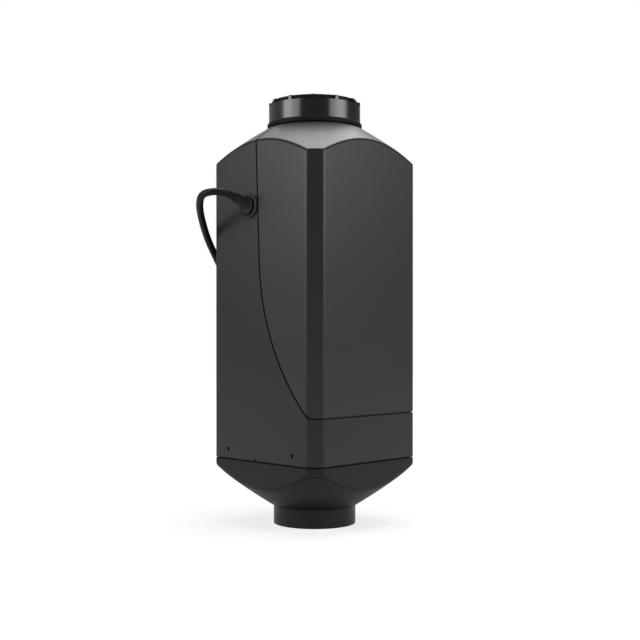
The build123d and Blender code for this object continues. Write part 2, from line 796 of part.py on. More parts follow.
with BuildPart() as heat_exchanger:
    with BuildSketch(Plane.XY.offset(core_bottom_height)):
        Circle(core_radius)
    extrude(amount=exchanger_top_height - core_bottom_height)
    fillet(heat_exchanger.edges().sort_by(Axis.Z)[0], core_edge_radius)
    with BuildSketch(Plane.XY.offset(fin_bottom_height)):
        add(fins.sketch)
    extrude(amount=fin_top_height - fin_bottom_height)
    # Bay of the overheat sensor, open to the top for its lead, and the sensor's pad
    with BuildSketch(Plane.YZ.offset(core_radius)):
        with Locations((0, sensor_height - sensor_pad_height / 2 - sensor_bay_margin)):
            Rectangle(
                sensor_pad_width + 2 * sensor_bay_margin,
                exchanger_top_height - sensor_height + sensor_pad_height,
                align=(Align.CENTER, Align.MIN),
            )
    extrude(amount=body_width, mode=Mode.SUBTRACT)
    with BuildSketch(Plane.YZ.offset(core_bore_radius + overrun)):
        with Locations((0, sensor_height)):
            Rectangle(sensor_pad_width, sensor_pad_height)
    extrude(amount=sensor_pad_reach - core_bore_radius - overrun)
    # Joint flange with the ear of the air channel, and the foot with its plenum
    with BuildSketch(Plane.XY.offset(exchanger_top_height)):
        add(disc_outline(head_radius + head_ledge))
    extrude(amount=-joint_flange_thickness)
    with BuildSketch(Plane.YZ.offset(-foot_inner_face)):
        with Locations((0, foot_centre_height)):
            RectangleRounded(foot_width, foot_height, foot_corner_radius)
    extrude(amount=-foot_flange_thickness)
    with BuildSketch(Plane.YZ.offset(-inner_face)):
        with Locations((0, foot_centre_height)):
            RectangleRounded(foot_boss_width, foot_boss_height, foot_corner_radius)
    extrude(amount=-foot_boss_reach - wall)
    with BuildSketch(Plane.YZ.offset(-core_bore_radius - 2 * overrun)):
        with Locations((0, (plenum_bottom_height + exchanger_top_height) / 2)):
            Rectangle(plenum_width, exchanger_top_height - plenum_bottom_height)
    extrude(amount=-(foot_inner_face - core_bore_radius - 2 * overrun))
    # Bore, gas ports, air channel, fuel pipe hole and threads
    with BuildSketch(Plane.XY.offset(core_bottom_height + core_floor_thickness)):
        Circle(core_bore_radius)
    extrude(amount=exchanger_top_height, mode=Mode.SUBTRACT)
    with BuildSketch(Plane.YZ):
        with Locations((0, exhaust_height)):
            Circle(gas_port_radius)
    extrude(amount=-foot_face, mode=Mode.SUBTRACT)
    with BuildSketch(Plane.YZ.offset(-air_channel_reach + air_channel_radius)):
        with Locations((0, air_intake_height)):
            Circle(gas_port_radius)
        with Locations((fuel_pipe_offset, fuel_pipe_height)):
            Circle(fuel_pipe_radius + fit_gap)
    extrude(amount=-foot_face, mode=Mode.SUBTRACT)
    with BuildSketch(Plane.XY.offset(air_intake_height)):
        with Locations((-air_channel_reach, 0)):
            Circle(air_channel_radius)
    extrude(amount=exchanger_top_height, mode=Mode.SUBTRACT)
    with BuildSketch(Plane.YZ.offset(-foot_face + stub_engagement)):
        with Locations((0, exhaust_height)):
            Circle(exhaust_radius - seated_step + press_gap)
        with Locations((0, air_intake_height)):
            Circle(air_intake_radius - seated_step + press_gap)
    extrude(amount=-stub_engagement, mode=Mode.SUBTRACT)
    with BuildSketch(Plane.YZ.offset(-foot_face + stud_engagement + overrun)):
        with Locations((0, foot_centre_height)):
            with GridLocations(stud_spacing_y, stud_spacing_z, 2, 2):
                Circle(stud_radius - seated_step + press_gap)
    extrude(amount=-stud_engagement - overrun, mode=Mode.SUBTRACT)
    with BuildSketch(Plane.XY.offset(exchanger_top_height)):
        with clamp_places():
            Circle(clamp_bolt_radius + press_gap)
    extrude(amount=-clamp_bolt_grip - overrun, mode=Mode.SUBTRACT)
finish(heat_exchanger.part, "heat_exchanger")

with BuildPart() as base_gasket:
    with BuildSketch(Plane.YZ.offset(-foot_face)):
        with Locations((0, foot_centre_height)):
            RectangleRounded(foot_boss_width, foot_boss_height, foot_corner_radius)
            with GridLocations(stud_spacing_y, stud_spacing_z, 2, 2):
                Circle(stud_radius + fit_gap, mode=Mode.SUBTRACT)
        with Locations((0, exhaust_height)):
            Circle(exhaust_radius + fit_gap, mode=Mode.SUBTRACT)
        with Locations((0, air_intake_height)):
            Circle(air_intake_radius + fit_gap, mode=Mode.SUBTRACT)
        with Locations((fuel_pipe_offset, fuel_pipe_height)):
            Circle(fuel_pipe_radius + fit_gap, mode=Mode.SUBTRACT)
    extrude(amount=-foot_gasket_thickness)
finish(base_gasket.part, "base_gasket")

with BuildPart() as base_studs:
    with BuildSketch(Plane.YZ.offset(-gasket_face)):
        with Locations((0, foot_centre_height)):
            with GridLocations(stud_spacing_y, stud_spacing_z, 2, 2):
                Circle(stud_radius)
    extrude(amount=-stud_reach)
    chamfer(base_studs.edges().group_by(Axis.X)[0], stud_chamfer)
    with BuildSketch(Plane.YZ.offset(-gasket_face)):
        with Locations((0, foot_centre_height)):
            with GridLocations(stud_spacing_y, stud_spacing_z, 2, 2):
                Circle(stud_radius - seated_step)
    extrude(amount=foot_gasket_thickness + stud_engagement)
finish(base_studs.part, "base_studs")


def pipe_stub(height, radius):
    """A thin pipe end that stands out of the foot's face at this height."""
    with BuildPart() as stub:
        with BuildSketch(Plane.YZ.offset(-gasket_face)):
            with Locations((0, height)):
                Circle(radius)
        extrude(amount=-stub_reach)
        with BuildSketch(Plane.YZ.offset(-gasket_face)):
            with Locations((0, height)):
                Circle(radius - seated_step)
        extrude(amount=foot_gasket_thickness + stub_engagement)
        with BuildSketch(Plane.YZ.offset(-gasket_face - stub_reach)):
            with Locations((0, height)):
                Circle(radius - stub_wall)
        extrude(amount=far, mode=Mode.SUBTRACT)
    return stub.part


finish(pipe_stub(exhaust_height, exhaust_radius), "exhaust_stub")
finish(pipe_stub(air_intake_height, air_intake_radius), "air_intake_stub")

# ---------------------------------------------------------------- burner
with BuildPart() as exchanger_gasket:
    with BuildSketch(Plane.XY.offset(exchanger_top_height)):
        add(disc_outline(head_radius))
        Circle(core_bore_radius + overrun, mode=Mode.SUBTRACT)
        with Locations((-air_channel_reach, 0)):
            Circle(air_channel_radius, mode=Mode.SUBTRACT)
        with clamp_places():
            Circle(clamp_bolt_radius + fit_gap, mode=Mode.SUBTRACT)
    extrude(amount=gasket_thickness)
finish(exchanger_gasket.part, "exchanger_gasket")

with BuildPart() as burner_head:
    with BuildSketch(Plane.XY.offset(burner_bottom)):
        add(disc_outline(head_radius))
        with Locations((-air_channel_reach, 0)):
            Circle(air_channel_radius, mode=Mode.SUBTRACT)
        with clamp_places():
            Circle(clamp_bolt_radius + fit_gap, mode=Mode.SUBTRACT)
    extrude(amount=burner_head_height)
    with BuildSketch(Plane.XY.offset(burner_bottom + burner_floor_thickness)):
        Circle(burner_cavity_radius)
    extrude(amount=burner_head_height, mode=Mode.SUBTRACT)
    with BuildSketch(Plane.XY.offset(burner_bottom)):
        with PolarLocations(burner_hole_circle_radius, burner_hole_count):
            Circle(burner_hole_radius)
    extrude(amount=burner_floor_thickness, mode=Mode.SUBTRACT)
    with BuildSketch(Plane.YZ):
        with Locations((0, plug_axis_height)):
            Circle(glow_plug_radius + press_gap)
    extrude(amount=far, mode=Mode.SUBTRACT)
    with BuildSketch(Plane.YZ):
        with Locations((fuel_pipe_offset, plug_axis_height)):
            Circle(fuel_pipe_radius + press_gap)
    extrude(amount=-far, mode=Mode.SUBTRACT)
finish(burner_head.part, "burner_head")

with BuildPart() as flame_tube:
    with BuildSketch(Plane.XY.offset(burner_bottom)):
        Circle(flame_tube_radius)
        Circle(flame_tube_radius - flame_tube_wall, mode=Mode.SUBTRACT)
    extrude(amount=-flame_tube_length)
finish(flame_tube.part, "flame_tube")

with BuildPart() as evaporator:
    with BuildSketch(Plane.XY.offset(burner_bottom)):
        Circle(evaporator_radius)
    extrude(amount=-evaporator_thickness)
finish(evaporator.part, "evaporator")

# The pipe comes in through the foot, rises beside the plenum and enters the burner head
with BuildPart() as fuel_pipe:
    with BuildLine() as fuel_path:
        FilletPolyline(
            (-gasket_face - fuel_pipe_reach, fuel_pipe_offset, fuel_pipe_height),
            (-fuel_pipe_riser, fuel_pipe_offset, fuel_pipe_height),
            (-fuel_pipe_riser, fuel_pipe_offset, plug_axis_height),
            (-fuel_pipe_end_radius, fuel_pipe_offset, plug_axis_height),
            radius=fuel_pipe_bend_radius,
        )
    with BuildSketch(Plane(fuel_path.line @ 0, z_dir=fuel_path.line % 0)):
        Circle(fuel_pipe_radius)
        Circle(fuel_pipe_bore_radius, mode=Mode.SUBTRACT)
    sweep(path=fuel_path.line)
    with BuildSketch(Plane.YZ.offset(-gasket_face - fuel_pipe_reach + fuel_hose_length)):
        with Locations((fuel_pipe_offset, fuel_pipe_height)):
            Circle(fuel_bead_radius)
            Circle((fuel_pipe_radius + fuel_pipe_bore_radius) / 2, mode=Mode.SUBTRACT)
    extrude(amount=fuel_bead_width)
finish(fuel_pipe.part, "fuel_pipe")

with BuildPart() as glow_plug:
    with BuildSketch(Plane.YZ.offset(glow_plug_tip_reach)):
        with Locations((0, plug_axis_height)):
            Circle(glow_plug_tip_radius)
    extrude(amount=burner_cavity_radius - glow_plug_tip_reach)
    with BuildSketch(Plane.YZ.offset(burner_cavity_radius - 2 * overrun)):
        with Locations((0, plug_axis_height)):
            Circle(glow_plug_radius)
    extrude(amount=head_radius - burner_cavity_radius + 2 * overrun)
    with BuildSketch(Plane.YZ.offset(head_radius)):
        with Locations((0, plug_axis_height)):
            RegularPolygon(glow_plug_hex_width / 2, 6, major_radius=False)
    extrude(amount=glow_plug_hex_length)
    with BuildSketch(Plane.YZ.offset(head_radius + glow_plug_hex_length)):
        with Locations((0, plug_axis_height)):
            Rectangle(2 * glow_plug_terminal_radius, 2 * glow_plug_terminal_radius)
    extrude(amount=glow_plug_terminal_length)
finish(glow_plug.part, "glow_plug")

# ---------------------------------------------------------------- combustion-air blower
with BuildPart() as blower_gasket:
    with BuildSketch(Plane.XY.offset(burner_top)):
        add(disc_outline(head_radius))
        Circle(burner_cavity_radius, mode=Mode.SUBTRACT)
        with Locations((-air_channel_reach, 0)):
            Circle(air_channel_radius, mode=Mode.SUBTRACT)
        with clamp_places():
            Circle(clamp_bolt_radius + fit_gap, mode=Mode.SUBTRACT)
    extrude(amount=blower_gasket_thickness)
finish(blower_gasket.part, "blower_gasket")

with BuildPart() as blower_housing:
    with BuildSketch(Plane.XY.offset(blower_bottom)):
        add(disc_outline(head_radius))
    extrude(amount=blower_height)
    with BuildSketch(Plane.XY.offset(cavity_floor)):
        Circle(blower_cavity_radius)
    extrude(amount=blower_height, mode=Mode.SUBTRACT)
    with BuildSketch(Plane.XY.offset(blower_bottom)):
        with Locations((blower_port_offset, 0)):
            Circle(blower_port_radius)
    extrude(amount=blower_floor_thickness, mode=Mode.SUBTRACT)
    with BuildSketch(Plane.XY.offset(blower_bottom)):
        with Locations((-air_channel_reach, 0)):
            Circle(air_channel_radius)
    extrude(amount=air_duct_height - blower_bottom + air_duct_radius, mode=Mode.SUBTRACT)
    with BuildSketch(Plane.YZ.offset(-blower_cavity_radius + 3 * overrun)):
        with Locations((0, air_duct_height)):
            Circle(air_duct_radius)
    extrude(amount=blower_cavity_radius - air_channel_reach - 3 * overrun, mode=Mode.SUBTRACT)
    with BuildSketch(Plane.XY.offset(blower_bottom)):
        with clamp_places():
            Circle(clamp_bolt_radius + fit_gap)
    extrude(amount=blower_height, mode=Mode.SUBTRACT)
finish(blower_housing.part, "blower_housing")

with BuildPart() as blower_cover:
    with BuildSketch(Plane.XY.offset(blower_top)):
        add(disc_outline(head_radius))
        Circle(shaft_radius + air_gap, mode=Mode.SUBTRACT)
        with clamp_places():
            Circle(clamp_bolt_radius + fit_gap, mode=Mode.SUBTRACT)
        with motor_screw_places():
            Circle(motor_screw_radius + press_gap, mode=Mode.SUBTRACT)
    extrude(amount=blower_cover_thickness)
finish(blower_cover.part, "blower_cover")

with BuildPart() as clamp_bolts:
    with BuildSketch(Plane.XY.offset(exchanger_top_height - clamp_bolt_grip)):
        with clamp_places():
            Circle(clamp_bolt_radius)
    extrude(amount=motor_bottom - exchanger_top_height + clamp_bolt_grip)
    with BuildSketch(Plane.XY.offset(motor_bottom)):
        with clamp_places():
            Circle(clamp_bolt_head_radius)
            RegularPolygon(clamp_bolt_socket_radius, 6, mode=Mode.SUBTRACT)
    extrude(amount=clamp_bolt_head_height)
    with BuildSketch(Plane.XY.offset(motor_bottom)):
        with clamp_places():
            Circle(clamp_bolt_head_radius)
    extrude(amount=clamp_bolt_head_height / 2)
finish(clamp_bolts.part, "clamp_bolts")

# ---------------------------------------------------------------- motor
with BuildPart() as motor_can:
    with BuildSketch(Plane.XY.offset(motor_bottom)):
        Circle(motor_radius)
    extrude(amount=motor_length)
    with BuildSketch(Plane.XY.offset(motor_bottom)):
        Circle(motor_flange_radius)
    extrude(amount=motor_flange_thickness)
    with BuildSketch(Plane.XY.offset(lower_bearing_bottom)):
        Circle(motor_radius - motor_wall)
        Circle(bearing_radius + bearing_boss_wall, mode=Mode.SUBTRACT)
    extrude(amount=motor_length, mode=Mode.SUBTRACT)
    with BuildSketch(Plane.XY.offset(lower_bearing_bottom + bearing_width)):
        Circle(bearing_radius + bearing_boss_wall)
    extrude(amount=motor_length, mode=Mode.SUBTRACT)
    with BuildSketch(Plane.XY.offset(lower_bearing_bottom)):
        Circle(bearing_radius + press_gap)
    extrude(amount=motor_length, mode=Mode.SUBTRACT)
    with BuildSketch(Plane.XY.offset(motor_bottom)):
        Circle(shaft_radius + air_gap)
        with motor_screw_places():
            Circle(motor_screw_radius + fit_gap)
    extrude(amount=motor_floor_thickness, mode=Mode.SUBTRACT)
finish(motor_can.part, "motor_can")

with BuildPart() as motor_cap:
    with BuildSketch(Plane.XY.offset(motor_top)):
        Circle(motor_radius)
        with Locations((0, motor_radius)):
            Rectangle(terminal_block_width, 2 * terminal_block_depth)
    extrude(amount=motor_cap_thickness)
    with BuildSketch(Plane.XY.offset(motor_top)):
        with Locations((0, motor_radius + terminal_block_depth / 2 + fit_gap)):
            Rectangle(terminal_block_width, terminal_block_depth - 2 * fit_gap)
    extrude(amount=-terminal_block_depth)
    with BuildSketch(Plane.XY.offset(motor_top)):
        Circle(bearing_radius + bearing_boss_wall)
    extrude(amount=-bearing_width)
    with BuildSketch(Plane.XY.offset(motor_top)):
        Circle(bearing_radius + press_gap)
    extrude(amount=-bearing_width, mode=Mode.SUBTRACT)
    with BuildSketch(Plane.XY.offset(motor_top)):
        Circle(shaft_radius + air_gap)
    extrude(amount=motor_cap_thickness, mode=Mode.SUBTRACT)
finish(motor_cap.part, "motor_cap")

with BuildPart() as motor_screws:
    with BuildSketch(Plane.XY.offset(motor_bottom + motor_flange_thickness)):
        with motor_screw_places():
            Circle(motor_screw_radius)
    extrude(amount=-motor_flange_thickness - blower_cover_thickness)
    with BuildSketch(Plane.XY.offset(motor_bottom + motor_flange_thickness)):
        with motor_screw_places():
            Circle(motor_screw_head_radius)
    extrude(amount=motor_screw_head_height)
finish(motor_screws.part, "motor_screws")


def bearing(bottom):
    """A plain bearing ring for the shaft, standing at this height."""
    with BuildPart() as ring:
        with BuildSketch(Plane.XY.offset(bottom)):
            Circle(bearing_radius)
            Circle(shaft_radius + running_gap, mode=Mode.SUBTRACT)
        extrude(amount=bearing_width)
    return ring.part


finish(bearing(lower_bearing_bottom), "lower_bearing")
finish(bearing(upper_bearing_bottom), "upper_bearing")

with BuildPart() as motor_magnets:
    with BuildSketch(Plane.XY.offset(armature_bottom)):
        Circle(magnet_outer_radius)
        Circle(magnet_inner_radius, mode=Mode.SUBTRACT)
        with PolarLocations(magnet_outer_radius, magnet_count, start_angle=45):
            Rectangle(3 * magnet_thickness, magnet_thickness, mode=Mode.SUBTRACT)
    extrude(amount=armature_length)
finish(motor_magnets.part, "motor_magnets")

# ---------------------------------------------------------------- rotor
with BuildPart() as rotor_shaft:
    with BuildSketch(Plane.XY.offset(impeller_bottom)):
        Circle(shaft_radius)
    extrude(amount=fan_top - shaft_end_margin - impeller_bottom)
finish(rotor_shaft.part, "rotor_shaft")

with BuildPart() as armature:
    with BuildSketch(Plane.XY.offset(armature_bottom)):
        Circle(armature_radius)
        with PolarLocations(armature_radius, armature_slot_count):
            Rectangle(2 * armature_slot_depth, blade_thickness, mode=Mode.SUBTRACT)
        Circle(shaft_radius + press_gap, mode=Mode.SUBTRACT)
    extrude(amount=armature_length)
    with BuildSketch(Plane.XY.offset(armature_top)):
        Circle(commutator_radius)
        Circle(shaft_radius + press_gap, mode=Mode.SUBTRACT)
    extrude(amount=commutator_length)
finish(armature.part, "armature")

with BuildPart() as combustion_impeller:
    with BuildSketch(Plane.XY.offset(impeller_bottom)):
        Circle(impeller_hub_radius)
        with PolarLocations(
            (impeller_hub_radius + impeller_radius) / 2 - air_gap, impeller_blade_count
        ):
            Rectangle(impeller_radius - impeller_hub_radius, blade_thickness)
    extrude(amount=impeller_blade_height)
    with BuildSketch(Plane.XY.offset(impeller_bottom + impeller_blade_height)):
        Circle(impeller_radius)
    extrude(amount=impeller_disc_thickness)
    with BuildSketch(Plane.XY.offset(impeller_bottom)):
        Circle(shaft_radius + press_gap)
    extrude(amount=impeller_blade_height + impeller_disc_thickness, mode=Mode.SUBTRACT)
finish(combustion_impeller.part, "combustion_impeller")

with BuildPart() as fan_blade:
    with BuildSketch(Plane.YZ.offset(fan_hub_radius - 3 * overrun)):
        with BuildLine():
            ThreePointArc(
                (-fan_blade_sweep, fan_bottom + fan_blade_margin),
                (-fan_blade_sweep / 8, fan_bottom + fan_height * 0.42),
                (fan_blade_sweep * 0.8, fan_top - fan_blade_margin),
            )
        trace(line_width=blade_thickness)
    extrude(amount=fan_radius - fan_hub_radius + 3 * overrun)

with BuildPart() as fan_wheel:
    with BuildSketch(Plane.XZ):
        with BuildLine():
            nose = ThreePointArc(
                (0, fan_top),
                (fan_hub_radius * 0.6, fan_top - fan_nose_height + fan_nose_bulge),
                (fan_hub_radius, fan_top - fan_nose_height),
            )
            Polyline(nose @ 1, (fan_hub_radius, fan_bottom), (0, fan_bottom), (0, fan_top))
        make_face()
    revolve(axis=Axis.Z)
    with PolarLocations(0, fan_blade_count):
        add(fan_blade.part)
    with BuildSketch(Plane.XY.offset(fan_bottom)):
        Circle(fan_radius)
    extrude(amount=fan_height, mode=Mode.INTERSECT)
    with BuildSketch(Plane.XY.offset(fan_bottom)):
        Circle(shaft_radius + press_gap)
    extrude(amount=fan_height - shaft_end_margin, mode=Mode.SUBTRACT)
finish(fan_wheel.part, "fan_wheel")

# ---------------------------------------------------------------- control unit
def lid_screw_places():
    """The four corners that the lid's screws go into."""
    return GridLocations(
        control_width - 2 * lid_screw_inset, control_height - 2 * lid_screw_inset, 2, 2
    )


with BuildPart() as control_bracket:
    with BuildSketch(Plane.XY.offset(motor_bottom)):
        with Locations(((bracket_inner_reach + control_back) / 2, 0)):
            Rectangle(control_back - bracket_inner_reach, bracket_width)
    extrude(amount=bracket_thickness)
    with BuildSketch(Plane.XY.offset(motor_bottom)):
        with Locations((control_back - bracket_thickness / 2, 0)):
            Rectangle(bracket_thickness, bracket_width)
    extrude(amount=control_top - bracket_margin - motor_bottom)
finish(control_bracket.part, "control_bracket")

with BuildPart() as control_case:
    with BuildSketch(Plane.YZ.offset(control_back)):
        with Locations((0, control_middle)):
            RectangleRounded(control_width, control_height, control_corner_radius)
    extrude(amount=control_depth)
    with BuildSketch(Plane.YZ.offset(control_inside)):
        with Locations((0, control_middle)):
            RectangleRounded(
                control_width - 2 * control_wall,
                control_height - 2 * control_wall,
                control_corner_radius - control_wall,
            )
            with lid_screw_places():
                Rectangle(2 * lid_screw_inset, 2 * lid_screw_inset, mode=Mode.SUBTRACT)
    extrude(amount=control_depth, mode=Mode.SUBTRACT)
    # Posts under the board
    with BuildSketch(Plane.YZ.offset(control_inside)):
        with Locations((0, control_middle)):
            with GridLocations(board_post_spacing, control_height - 4 * control_wall, 2, 2):
                Circle(board_post_radius)
    extrude(amount=board_stand_height)
    # Slots for the two headers
    with BuildSketch(Plane.YZ.offset(control_inside)):
        with Locations((-control_width / 2, control_middle)):
            Rectangle(3 * control_wall, plug_height)
        with Locations((0, control_bottom)):
            Rectangle(header_width, 3 * control_wall)
    extrude(amount=control_depth - 2 * control_wall, mode=Mode.SUBTRACT)
    with BuildSketch(Plane.YZ.offset(control_front)):
        with Locations((0, control_middle)):
            with lid_screw_places():
                Circle(lid_screw_radius + press_gap)
    extrude(amount=-control_depth + control_wall, mode=Mode.SUBTRACT)
finish(control_case.part, "control_case")

with BuildPart() as circuit_board:
    with BuildSketch(Plane.YZ.offset(board_back)):
        with Locations((0, control_middle)):
            Rectangle(
                control_width - 2 * (control_wall + board_margin),
                control_height - 2 * (control_wall + board_margin),
            )
            with lid_screw_places():
                Rectangle(
                    2 * lid_screw_inset + overrun,
                    2 * lid_screw_inset + overrun,
                    mode=Mode.SUBTRACT,
                )
    extrude(amount=board_thickness)
    # Relay, processor and two capacitors
    with BuildSketch(Plane.YZ.offset(board_back + board_thickness)):
        with Locations((-relay_width, control_middle)):
            Rectangle(relay_width, relay_height)
        with Locations((processor_width, control_middle)):
            Rectangle(processor_width, processor_width)
        with Locations((board_post_spacing / 2, control_middle)):
            with GridLocations(capacitor_spacing, capacitor_spacing, 1, 2):
                Circle(capacitor_radius)
    extrude(amount=board_part_height)
finish(circuit_board.part, "circuit_board")

with BuildPart() as harness_header:
    with BuildSketch(Plane.XZ.offset(control_width / 2 - control_wall)):
        with Locations((header_x, control_middle)):
            Rectangle(plug_width - 2 * fit_gap, plug_height - 2 * fit_gap)
    extrude(amount=plug_depth + control_wall)
finish(harness_header.part, "harness_header")

with BuildPart() as sensor_header:
    with BuildSketch(Plane.XY.offset(control_bottom + control_wall)):
        with Locations((header_x, 0)):
            Rectangle(header_depth - 2 * fit_gap, header_width - 2 * fit_gap)
    extrude(amount=-header_height - control_wall)
finish(sensor_header.part, "sensor_header")

with BuildPart() as control_lid:
    with BuildSketch(Plane.YZ.offset(control_front)):
        with Locations((0, control_middle)):
            RectangleRounded(control_width, control_height, control_corner_radius)
            with lid_screw_places():
                Circle(lid_screw_radius + fit_gap, mode=Mode.SUBTRACT)
    extrude(amount=control_lid_thickness)
finish(control_lid.part, "control_lid")

with BuildPart() as lid_screws:
    with BuildSketch(Plane.YZ.offset(control_front + control_lid_thickness)):
        with Locations((0, control_middle)):
            with lid_screw_places():
                Circle(lid_screw_radius)
    extrude(amount=-control_lid_thickness - control_depth + 2 * control_wall)
    with BuildSketch(Plane.YZ.offset(control_front + control_lid_thickness)):
        with Locations((0, control_middle)):
            with lid_screw_places():
                Circle(lid_screw_head_radius)
    extrude(amount=lid_screw_head_height)
finish(lid_screws.part, "lid_screws")

# ---------------------------------------------------------------- overheat sensor
with BuildPart() as overheat_sensor:
    with BuildSketch(Plane.YZ.offset(sensor_pad_reach)):
        with Locations((0, sensor_height)):
            RectangleRounded(sensor_width, sensor_width, sensor_corner_radius)
    extrude(amount=sensor_thickness)
finish(overheat_sensor.part, "overheat_sensor")

clip_span = sensor_width + 2 * (fit_gap + clip_thickness)
with BuildPart() as sensor_clip:
    with BuildSketch(Plane.XY.offset(sensor_height - clip_height / 2)):
        with Locations((sensor_pad_reach + (sensor_thickness + clip_thickness) / 2, 0)):
            Rectangle(sensor_thickness + clip_thickness, clip_span)
        with Locations((sensor_pad_reach + sensor_thickness / 2, 0)):
            Rectangle(sensor_thickness, clip_span - 2 * clip_thickness, mode=Mode.SUBTRACT)
        with Locations((sensor_pad_reach + clip_thickness / 2, 0)):
            Rectangle(clip_thickness, sensor_pad_width - 2 * clip_margin)
            Rectangle(clip_thickness, clip_span - 2 * clip_thickness, mode=Mode.SUBTRACT)
    extrude(amount=clip_height)
finish(sensor_clip.part, "sensor_clip")

# ---------------------------------------------------------------- leads inside
glow_plug_lead = tube_along(
    [
        (header_x, -glow_pin_offset, header_bottom),
        (header_x, -glow_pin_offset, header_bottom - lead_run),
        (glow_terminal_x, 0, glow_terminal_top + lead_run),
        (glow_terminal_x, 0, glow_terminal_top),
    ],
    lead_radius,
)
finish(glow_plug_lead, "glow_plug_lead")

# The sensor's lead swings out round the joint flange
sensor_lead = tube_along(
    [
        (header_x, sensor_pin_offset, header_bottom),
        (header_x, sensor_pin_offset, header_bottom - lead_run),
        (header_x + sensor_lead_bow, sensor_pin_offset, plug_axis_height),
        (header_x + sensor_lead_bow, sensor_pin_offset / 2, sensor_top + sensor_lead_rise),
        (sensor_x, 0, sensor_top + sensor_lead_rise),
        (sensor_x, 0, sensor_top),
    ],
    lead_radius,
)
finish(sensor_lead, "sensor_lead")

# The motor's lead goes under the control unit and up past its back corner
motor_lead = tube_along(
    [
        (header_x, motor_pin_offset, header_bottom),
        (header_x, motor_pin_offset, header_bottom - lead_run),
        (header_x, control_width / 2, header_bottom - lead_run / 2),
        (
            control_back - motor_lead_clearance / 2,
            control_width / 2 + motor_lead_clearance,
            control_bottom + motor_lead_clearance,
        ),
        (motor_radius, 2 * motor_radius, control_top - motor_lead_clearance),
        (0, terminal_face + lead_run, terminal_height),
        (0, terminal_face, terminal_height),
    ],
    lead_radius,
)
finish(motor_lead, "motor_lead")

harness_lead = tube_along(
    [
        (grommet_x, -grommet_back, grommet_height),
        (grommet_x, -grommet_back + harness_run, grommet_height),
        (header_x - 2 * harness_run, -plug_face - harness_run / 2, control_middle),
        (header_x - harness_run / 2, -plug_face - harness_run, control_middle),
        (header_x, -plug_face - lead_run, control_middle),
        (header_x, -plug_face, control_middle),
    ],
    harness_radius,
)
finish(harness_lead, "harness_lead")

# ---------------------------------------------------------------- grommet, cable, connector
boot = Vector(*boot_direction).normalized()
boot_root = Vector(grommet_x, -half_width, grommet_height)
boot_tip = boot_root + boot * boot_length
with BuildPart() as cable_grommet:
    with BuildSketch(Plane.XZ.offset(grommet_back)):
        with Locations((grommet_x, grommet_height)):
            Circle(grommet_back_radius)
    extrude(amount=grommet_back_thickness)
    with BuildSketch(Plane.XZ.offset(inner_face)):
        with Locations((grommet_x, grommet_height)):
            Circle(grommet_hole_radius - press_gap)
    extrude(amount=wall)
    with BuildSketch(Plane.XZ.offset(half_width)):
        with Locations((grommet_x, grommet_height)):
            Circle(grommet_flange_radius)
    extrude(amount=grommet_flange_thickness)
    fillet(cable_grommet.edges().sort_by(Axis.Y)[0], grommet_edge_radius)
    with BuildSketch(Plane.XZ.offset(half_width + grommet_flange_thickness)):
        with Locations((grommet_x, grommet_height)):
            Circle(grommet_collar_radius + grommet_groove_width)
    extrude(amount=-grommet_groove_depth, mode=Mode.SUBTRACT)
    with BuildSketch(Plane.XZ.offset(half_width)):
        with Locations((grommet_x, grommet_height)):
            Circle(grommet_collar_radius)
    extrude(amount=grommet_collar_height)
    with BuildSketch(Plane(boot_root, z_dir=boot)):
        Circle(boot_root_radius)
    with BuildSketch(Plane(boot_tip, z_dir=boot)):
        Circle(boot_tip_radius)
    loft()
finish(cable_grommet.part, "cable_grommet")

cable_points = [tuple(boot_tip), tuple(boot_tip + boot * first_run)] + cable_route
cable = tube_along(cable_points, cable_diameter / 2)
finish(cable, "cable")
cable_length = sum(edge.length for edge in route_line(cable_points).edges())
cable_section = pi * (cable_diameter / 2) ** 2
print("cable radii", [round(radius, 1) for radius in largest_radii(cable_points)])
print("cable points", [tuple(round(value, 1) for value in point) for point in cable_points])
print("cable length", round(cable_length, 1), "volume", round(cable.volume, 1))
print("section times length", round(cable_section * cable_length, 1))

cable_end = Vector(*cable_route[-1])
neck_bottom = cable_end.Z - connector_neck_height
connector_bottom = neck_bottom - connector_body_height
with BuildPart() as cable_connector:
    with BuildSketch(Plane.XY.offset(cable_end.Z)):
        with Locations((cable_end.X, cable_end.Y)):
            RectangleRounded(connector_neck_depth, connector_neck_width, connector_corner_radius)
    extrude(amount=-connector_neck_height)
    with BuildSketch(Plane.XY.offset(neck_bottom)):
        with Locations((cable_end.X, cable_end.Y)):
            RectangleRounded(connector_depth, connector_width, connector_corner_radius)
    extrude(amount=-connector_body_height)
    # Open mating end with its pins
    with BuildSketch(Plane.XY.offset(connector_bottom)):
        with Locations((cable_end.X, cable_end.Y)):
            RectangleRounded(
                connector_depth - 2 * connector_rim,
                connector_width - 2 * connector_rim,
                connector_corner_radius / 2,
            )
            with GridLocations(
                connector_pin_spacing,
                connector_pin_spacing,
                connector_pin_rows,
                connector_pin_columns,
            ):
                Circle(connector_pin_radius, mode=Mode.SUBTRACT)
    extrude(amount=connector_mouth_depth, mode=Mode.SUBTRACT)
    # Latch on the outer side
    with BuildSketch(Plane.XY.offset(connector_bottom + connector_latch_rise)):
        with Locations((cable_end.X - connector_depth / 2, cable_end.Y)):
            Rectangle(connector_latch_depth, connector_latch_width)
    extrude(amount=connector_latch_height)
finish(cable_connector.part, "cable_connector")
